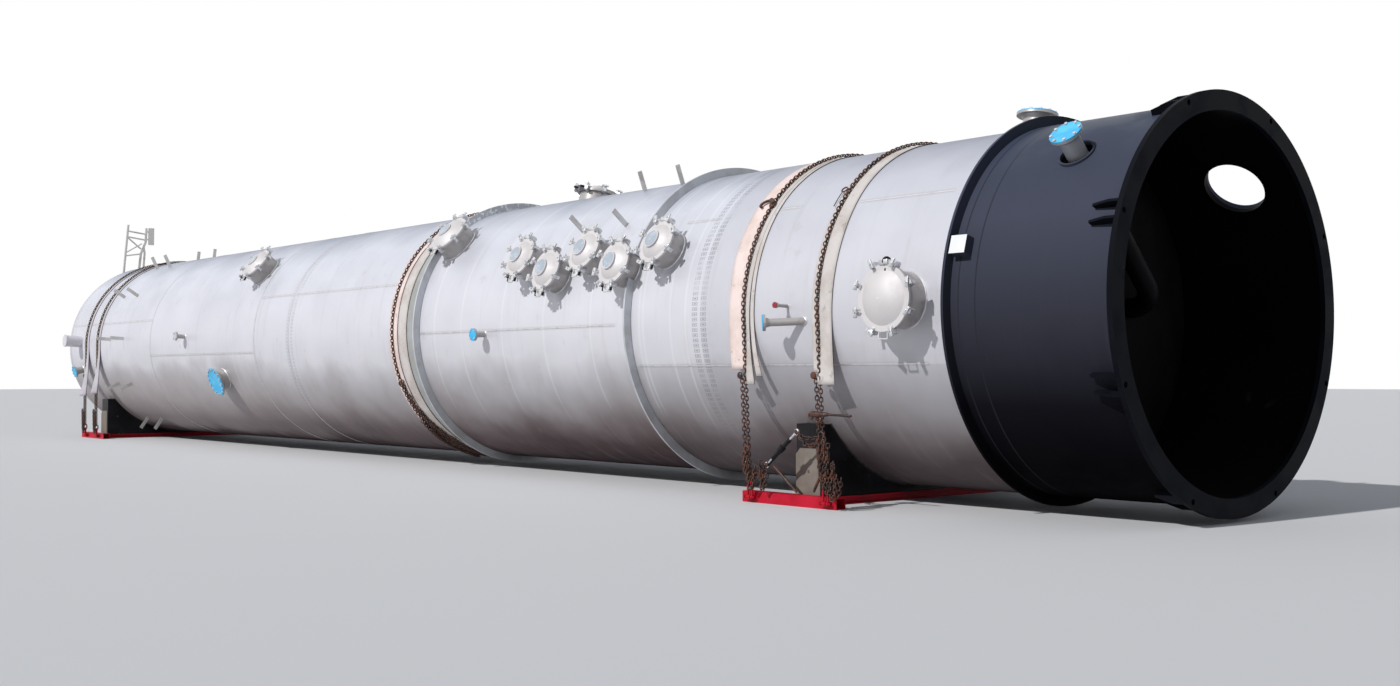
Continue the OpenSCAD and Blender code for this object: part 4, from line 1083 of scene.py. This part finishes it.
# %% Weld beads
BEAD_HALF, BEAD_SQUASH = 0.011, 0.42
bead_drawing = bmesh.new()
for seam in GIRTH_SEAMS[1:]:
    ring = [place(seam, step * 2.5, shell_r) for step in range(144)]
    add_tube(bead_drawing, ring, BEAD_HALF, 6, True, BEAD_SQUASH, "axis")
for start, end, turn in LONG_SEAMS:
    line = [place(start, turn, shell_r), place(end, turn, shell_r)]
    add_tube(bead_drawing, line, BEAD_HALF * 0.8, 6, False, BEAD_SQUASH, "axis")

# Manways: station, angle, outside radius of the neck, reach of its flange's face beyond the shell
MANWAYS = [(2.600, 2, 0.305, 0.310), (12.400, 41, 0.305, 0.250), (11.470, 103, 0.305, 0.250),
           (19.600, 39.5, 0.305, 0.250)]
MANWAYS += [(6.720 + 0.779 * number, 19 if number % 2 else 25, 0.254, 0.240) for number in range(5)]

# Where pipes and necks stand on the shell: station, angle, outside radius, lean
ROOTS = [(2.620, 98, 0.162, 0), (20.760, -22, 0.203, 0), (10.830, -3, 0.0445, 0), (4.120, -3, 0.0445, 40),
         (4.365, 2, 0.021, 0), (22.513, 2.6, 0.0445, 0), (29.230, -16, 0.084, 0)]
ROOTS += [(*manway[:3], 0) for manway in MANWAYS]


def root_path(station, angle, radius, lean, steps=40):
    """The line where a pipe that stands on the shell meets it."""
    path = []
    for step in range(steps):
        turn = math.tau * step / steps
        across = radius * math.sin(turn)
        along = radius * math.cos(turn) / math.cos(math.radians(lean))
        depth = math.sqrt(shell_r ** 2 - across ** 2)
        path.append(Vector((x_base - station - along, axis_y, axis_z)) + outward(angle) * depth
                    + outward(angle + 90) * across)
    return path


for root in ROOTS:
    add_tube(bead_drawing, root_path(*root), min(0.012, root[2] * 0.3), 6, True, 1.0, "axis")
finish_piece(bead_drawing, "weld_beads", "bead_steel", 60)

# %% [markdown]
# ## Bolts
# The temporary covers are held by a few bolts in each flange. Each head is a hexagon on a washer.


# %% Bolts on the covered flanges
def make_bolt():
    bolt = bmesh.new()
    bmesh.ops.create_cone(bolt, cap_ends=True, segments=14, radius1=0.58, radius2=0.58, depth=0.12,
                          matrix=Matrix.Translation((0, 0, 0.06)))
    made = bmesh.ops.create_cone(bolt, cap_ends=True, segments=6, radius1=0.5, radius2=0.5, depth=0.4,
                                 matrix=Matrix.Translation((0, 0, 0.32)))
    soften(bolt, rims_of(made), 0.06, 1)
    return keep_shape(bolt, "bolt head")


bolt_shape = make_bolt()

# Covered flanges: station, angle, reach of the cover's face from the axis, bolt circle, bolts, size
BLANK, WASHER_SUNK = 0.012, 0.001
FLANGES = (
    (station_of("skirt_sleeve"), 46, 0.270, 0.2985, 8, 0.036),
    (20.760, -22, 0.205, 0.5398, 16, 0.044),
    (2.620, 98, 0.290, 0.4318, 12, 0.040),
    (10.830, -3, 0.205, 0.1524, 4, 0.030),
    (22.513, 2.6, 0.205, 0.1524, 4, 0.030),
    (29.230, -16, 0.205, 0.2413, 8, 0.034))
bolt_drawing = bmesh.new()
for station, angle, reach, circle, count, size in FLANGES:
    face = stand(station, angle, shell_r + reach + BLANK - WASHER_SUNK)
    for number in range(count):
        turn = math.tau * (number + 0.5) / count
        at = Matrix.Translation((math.cos(turn) * circle / 2, math.sin(turn) * circle / 2, 0))
        stamp(bolt_drawing, bolt_shape, face @ at @ Matrix.Scale(size, 4))
finish_piece(bolt_drawing, "cover_bolts", "clamp_steel", 30)

# %% [markdown]
# ## Fittings of the manway covers
# Each clamp is tightened by a flat bar that stays in the direction it stopped at. Each cover hangs from a
# block at the top of its rim, and every cover but the lower manway's has a plate at the bottom with a bolt
# at each side of it.

# %% Clamp bars, blocks and plates
CLAMP_TURNS = (80, 5, 10, 95, 80, 85, 5, 70)  # how far each clamp's bar is turned, in degrees
FLANGE_OVER = 0.050  # how much wider a flange is than its neck
BAR, BLOCK, PLATE = (0.108, 0.044, 0.026), (0.120, 0.060, 0.052), (0.100, 0.112, 0.019)
HINGE_SIDE, HINGE_RADIUS = 0.082, 0.019


def add_block(drawing, spot, size, soft=0.004):
    """A rectangular block with softened edges, centred at a spot."""
    made = bmesh.ops.create_cube(drawing, size=1.0, matrix=spot @ Matrix.Diagonal((*size, 1)))
    soften(drawing, edges_of(made), soft)


bars, dark_bolts = bmesh.new(), bmesh.new()
jitter = random.Random(31)
for station, angle, radius, reach in MANWAYS:
    face = stand(station, angle, shell_r + reach)
    rim = radius + FLANGE_OVER
    for number, turn in enumerate(CLAMP_TURNS):
        around = Matrix.Rotation(math.radians((number + 0.5) * 45), 4, "Z")
        twist = Matrix.Rotation(math.radians(turn + jitter.uniform(-12, 12)), 4, "Z")
        add_block(bars, face @ around @ Matrix.Translation((rim + 0.034, 0, 0.066)) @ twist, BAR)
    add_block(bars, face @ Matrix.Translation((0, rim + 0.022, 0.020)), BLOCK, 0.008)
    if station == MANWAYS[0][0]:  # the lower manway's cover has only its bent handle there
        continue
    add_block(bars, face @ Matrix.Translation((0, -rim - 0.056, 0.013)), PLATE)
    for side in (-HINGE_SIDE, HINGE_SIDE):
        top, end = Vector((side, -rim - 0.012, 0.014)), Vector((side, -rim - 0.088, 0.002))
        add_rod(dark_bolts, face @ top, face @ end, HINGE_RADIUS)
finish_piece(bars, "clamp_bars", "clamp_steel", 40)
finish_piece(dark_bolts, "cover_hinge_bolts", "black_paint", 40)

# %% [markdown]
# ## Lashing gear
# Below a grab link each hanging chain is doubled. A lever binder, a ratchet binder and two short bars
# lie between the front chains, and the chains' spare ends hang in loops beside them.


# %% Doubled chains and hanging loops
def beside(station, rise, out=0.0):
    """A point on the plane of the hanging chains, by its station and its height above the axis."""
    return Vector((x_base - station, axis_y - chain_r - out, axis_z + rise))


def mirror_y(points):
    return [Vector((point.x, 2 * axis_y - point.y, point.z)) for point in points]


DOUBLED_FROM, DOUBLED_TO, DOUBLED_OFF = -0.735, -1.86, 0.050


def doubled(station, lean):
    """The second strand of a hanging chain."""
    share = lean / (axis_z - BOW_UNDER - 0.09)
    rises = (DOUBLED_FROM, -1.1, -1.5, DOUBLED_TO)
    return [beside(station + DOUBLED_OFF + share * rise, rise, 0.012) for rise in rises]


SWAG_FULLNESS = 2.6  # 2 is a parabola, and more is fuller


def swag(start, end, lowest, steps=22):
    """A chain's path that hangs from one point to another and reaches down to a lowest height."""
    path = []
    for step in range(steps + 1):
        share = step / steps
        fall = 1 - abs(2 * share - 1) ** SWAG_FULLNESS
        point = start.lerp(end, share)
        point.z += fall * (axis_z + lowest - point.z)
        path.append(point)
    return path


def add_ring(drawing, centre, facing, ring, bar):
    """A round ring that faces a direction."""
    add_loop(drawing, aim(centre, centre + facing), ring, bar, steps=22, sides=8)


gear = bmesh.new()
OUTWARD_Y = Vector((0, -1, 0))
for station, lean in FRONT_CHAINS + REAR_CHAINS:
    add_chain(gear, doubled(station, lean), side=OUTWARD_Y, start=0.01, turn=1)
    add_chain(gear, mirror_y(doubled(station, lean)), side=-OUTWARD_Y, start=0.01, turn=1)
    disc = beside(station + 0.022, DOUBLED_FROM + 0.010, 0.020)
    add_rod(gear, disc, disc + OUTWARD_Y * 0.024, 0.043, sides=20)
near, far = [station - lean for station, lean in FRONT_CHAINS]
# Hanging loops: start and end as (station, rise, out), then how low the loop hangs
LOOPS = [
    ((near + 0.07, -1.46, 0.04), (near - 0.03, -1.44, 0.05), -1.84),
    ((near + 0.03, -1.42, 0.07), (near - 0.10, -1.50, 0.06), -1.92),
    ((near - 0.06, -1.47, 0.09), (near - 0.20, -1.66, 0.08), -2.04),
    ((near - 0.11, -1.60, 0.08), (near - 0.27, -1.80, 0.10), -2.10),
    ((near - 0.16, -1.72, 0.05), (near - 0.30, -1.86, 0.06), -2.06),
    ((near + 0.00, -1.55, 0.10), (near - 0.13, -1.62, 0.10), -1.88),
    ((far + 0.06, -1.66, 0.04), (far - 0.06, -1.72, 0.06), -1.90),
    ((far - 0.02, -1.62, 0.07), (far - 0.16, -1.80, 0.07), -2.05),
    ((far - 0.24, -1.74, 0.05), (far - 0.31, -1.76, 0.07), -2.05),
    ((far - 0.26, -1.76, 0.09), (far - 0.36, -1.72, 0.05), -2.00)]
for station, lean in REAR_CHAINS:
    foot = station - lean
    LOOPS += [((foot + 0.06, -1.58, 0.04), (foot - 0.06, -1.62, 0.05), -2.03),
              ((foot + 0.02, -1.55, 0.07), (foot - 0.14, -1.72, 0.07), -2.09)]
for number, (start, end, lowest) in enumerate(LOOPS):
    add_chain(gear, swag(beside(*start), beside(*end), lowest), side=OUTWARD_Y, turn=number)
finish_piece(gear, "spare_chain", "chain_steel", 80)

# %% Hooks, bars and the lever binder
rusty = bmesh.new()


def on_shell(station, angle, lift=0.0):
    return place(station, angle, chain_r + lift)


# The grab hook's bend and a thin bar beside the near chain, by station and angle
GRAB_HOOK = ((5.095, 41.0), (5.135, 41.5), (5.180, 41.7), (5.225, 41.5), (5.262, 41.0), (5.285, 40.2),
             (5.283, 39.4), (5.255, 38.9))
THIN_BAR_AT, THIN_BAR_ANGLES = 3.985, (42.0, 40.5, 39.0, 37.5, 35.8)
add_tube(rusty, [on_shell(*spot, 0.012) for spot in GRAB_HOOK], 0.018, 8, out_from="axis")
add_rod(rusty, on_shell(5.150, 41.8, 0.010), on_shell(5.060, 40.2, 0.014), 0.036, 0.026)
add_ring(rusty, on_shell(5.085, 39.6, 0.008), outward(40.4), 0.032, 0.012)
add_ring(rusty, on_shell(3.950, 42.6, 0.002), outward(42.6), 0.038, 0.009)
thin_bar = [on_shell(THIN_BAR_AT, angle, -0.012) for angle in THIN_BAR_ANGLES]
add_tube(rusty, thin_bar, 0.006, 6, out_from="axis")

LEVER_RISE = -1.158
lever_end = beside(3.895, LEVER_RISE, 0.055)
lever_neck = beside(3.640, LEVER_RISE - 0.002, 0.055)
add_rod(rusty, lever_end, lever_neck, 0.036, 0.022)
add_rod(rusty, lever_neck - Vector((0.01, 0, 0)), beside(3.290, LEVER_RISE - 0.012, 0.055), 0.014)
add_ring(rusty, beside(3.905, LEVER_RISE - 0.020, 0.055), OUTWARD_Y, 0.034, 0.011)
add_ring(rusty, beside(3.800, LEVER_RISE - 0.055, 0.045), OUTWARD_Y, 0.036, 0.011)
# The two short bars' ends as (station, rise)
SHORT_BARS = (((4.560, -1.770), (4.223, -2.054)), ((3.746, -1.758), (3.951, -2.037)))
for start, end in SHORT_BARS:
    add_rod(rusty, beside(*start, 0.01), beside(*end, -0.03), 0.0165)
for centre in (beside(near + 0.03, -1.40, 0.03), beside(far + 0.02, -1.60, 0.03)):
    add_ring(rusty, centre, OUTWARD_Y, 0.040, 0.013)
finish_piece(rusty, "hooks_and_bars", "chain_steel", 40)

# %% The ratchet binder
low_end, high_end = beside(4.635, -1.766, 0.05), beside(4.140, -1.369, 0.05)
BINDER_SIDE = Vector((-0.62, 0, -0.78))


def along_binder(share, off=0.0):
    return low_end.lerp(high_end, share) + BINDER_SIDE * off


barrel = bmesh.new()
add_rod(barrel, along_binder(0.20), along_binder(0.78), 0.026)
add_rod(barrel, along_binder(0.44), along_binder(0.56), 0.043)
add_rod(barrel, along_binder(0.50, 0.02), along_binder(0.50, 0.075), 0.018)
add_rod(barrel, along_binder(0.50, 0.070), along_binder(0.16, 0.085), 0.013)
finish_piece(barrel, "ratchet_binder_barrel", "black_paint", 40)
screws = bmesh.new()
add_rod(screws, along_binder(0.04), along_binder(0.21), 0.013)
add_rod(screws, along_binder(0.77), along_binder(0.96), 0.014)
add_ring(screws, along_binder(0.0), OUTWARD_Y, 0.030, 0.010)
add_ring(screws, along_binder(1.0), OUTWARD_Y, 0.030, 0.010)
finish_piece(screws, "ratchet_binder_screws", "clamp_steel", 40)
# The chains at the binder's ends: where on the binder each starts, then its points as (station, rise, out)
BINDER_CHAINS = (
    (1.03, (4.05, -1.425, 0.05), (3.93, -1.435, 0.05), (3.80, -1.42, 0.05)),
    (1.0, (4.02, -1.50, 0.04), (3.90, -1.52, 0.05), (3.79, -1.46, 0.05)),
    (-0.03, (4.78, -1.86, 0.05), (4.90, -1.93, 0.05)))
binder_chain = bmesh.new()
for share, *spots in BINDER_CHAINS:
    path = [along_binder(share)] + [beside(*spot) for spot in spots]
    add_chain(binder_chain, path, side=OUTWARD_Y)
finish_piece(binder_chain, "binder_chain", "chain_steel", 80)

# %% The bundle beside the girth chain
# Each strand's station beside the girth chain, its first and last angle and its lift
GIRTH_STRANDS = (
    (-0.060, -23, -84, 0.004), (-0.120, -30, -82, 0.006), (-0.030, -44, -80, 0.040),
    (-0.185, -38, -82, 0.005), (-0.095, -50, -78, 0.044), (-0.250, -45, -80, 0.006),
    (-0.315, -50, -80, 0.008), (-0.380, -56, -80, 0.006))
bundle = bmesh.new()
for number, (off, first, last, lift) in enumerate(GIRTH_STRANDS):
    path = [place(girth_at + off + 0.012 * math.sin(angle * 0.35 + number), angle, chain_r + lift)
            for angle in range(first, last, -2)]
    add_chain(bundle, path, "axis", turn=number)
add_ring(bundle, place(girth_at - 0.020, -24, chain_r + 0.022), outward(-24), 0.042, 0.013)
finish_piece(bundle, "girth_chain_bundle", "chain_steel", 80)

# %% The davit eye of the lower manway
eye = bmesh.new()
EYE_RING, EYE_BAR = 0.042, 0.013
manway_face = stand(*MANWAYS[0][:2], shell_r + 0.330)
eye_spot = Matrix.Translation((0.02, 0.385, -0.02)) @ Matrix.Rotation(math.radians(62), 4, "Y")
add_loop(eye, manway_face @ eye_spot, EYE_RING, EYE_BAR)
add_rod(eye, manway_face @ Vector((0.02, 0.28, 0.0)), manway_face @ Vector((0.02, 0.35, -0.02)), 0.016)
finish_piece(eye, "davit_eye", "black_paint", 40)

# %% [markdown]
# ## Lights, world and floor
# The sun comes from the manways' side at about 37 degrees, as the shadows of the belting and of the
# nozzles show. The world fills in softly. Seen by the camera, by metal and by glass it is plain white.

# %% World
world = bpy.data.worlds.new("studio")
bpy.context.scene.world = world
world.use_nodes = True
world_tree = world.node_tree
fill = world_tree.nodes["Background"]
fill.inputs["Color"].default_value = (0.80, 0.88, 1.0, 1)
fill.inputs["Strength"].default_value = 0.27
white = world_tree.nodes.new("ShaderNodeBackground")
white.inputs["Color"].default_value = (1, 1, 1, 1)
white.inputs["Strength"].default_value = 1.0
seen = world_tree.nodes.new("ShaderNodeLightPath")
rays = ("Is Camera Ray", "Is Glossy Ray", "Is Transmission Ray")
seen_any = highest(world_tree, [seen.outputs[ray] for ray in rays])
choose = world_tree.nodes.new("ShaderNodeMixShader")
world_tree.links.new(seen_any, choose.inputs["Fac"])
world_tree.links.new(fill.outputs["Background"], choose.inputs[1])
world_tree.links.new(white.outputs["Background"], choose.inputs[2])
world_tree.links.new(choose.outputs["Shader"], world_tree.nodes["World Output"].inputs["Surface"])
print("the world is plain white to these rays:", rays)

# %% Sun and floor
SUN_HEIGHT, SUN_TURN, FLOOR_HALF = 36.9, -3.6, 150
sun_data = bpy.data.lights.new("sun", "SUN")
sun_data.energy = 2.9
sun_data.angle = math.radians(1)
sun = bpy.data.objects.new("sun", sun_data)
bpy.context.scene.collection.objects.link(sun)
sun.rotation_euler = (math.radians(90 - SUN_HEIGHT), 0, math.radians(SUN_TURN))

floor_mesh = bmesh.new()
bmesh.ops.create_grid(floor_mesh, x_segments=1, y_segments=1, size=FLOOR_HALF)
floor_data = bpy.data.meshes.new("floor")
floor_mesh.to_mesh(floor_data)
floor_mesh.free()
floor = bpy.data.objects.new("floor", floor_data)
bpy.context.scene.collection.objects.link(floor)
floor_finish, _, floor_shader = new_finish("pale floor", 0.0, 0.9)
floor_shader.inputs["Base Color"].default_value = (0.66, 0.66, 0.67, 1)
floor_data.materials.append(floor_finish)
bpy.context.scene.view_settings.view_transform = "Standard"
print("sun, world and floor are set")
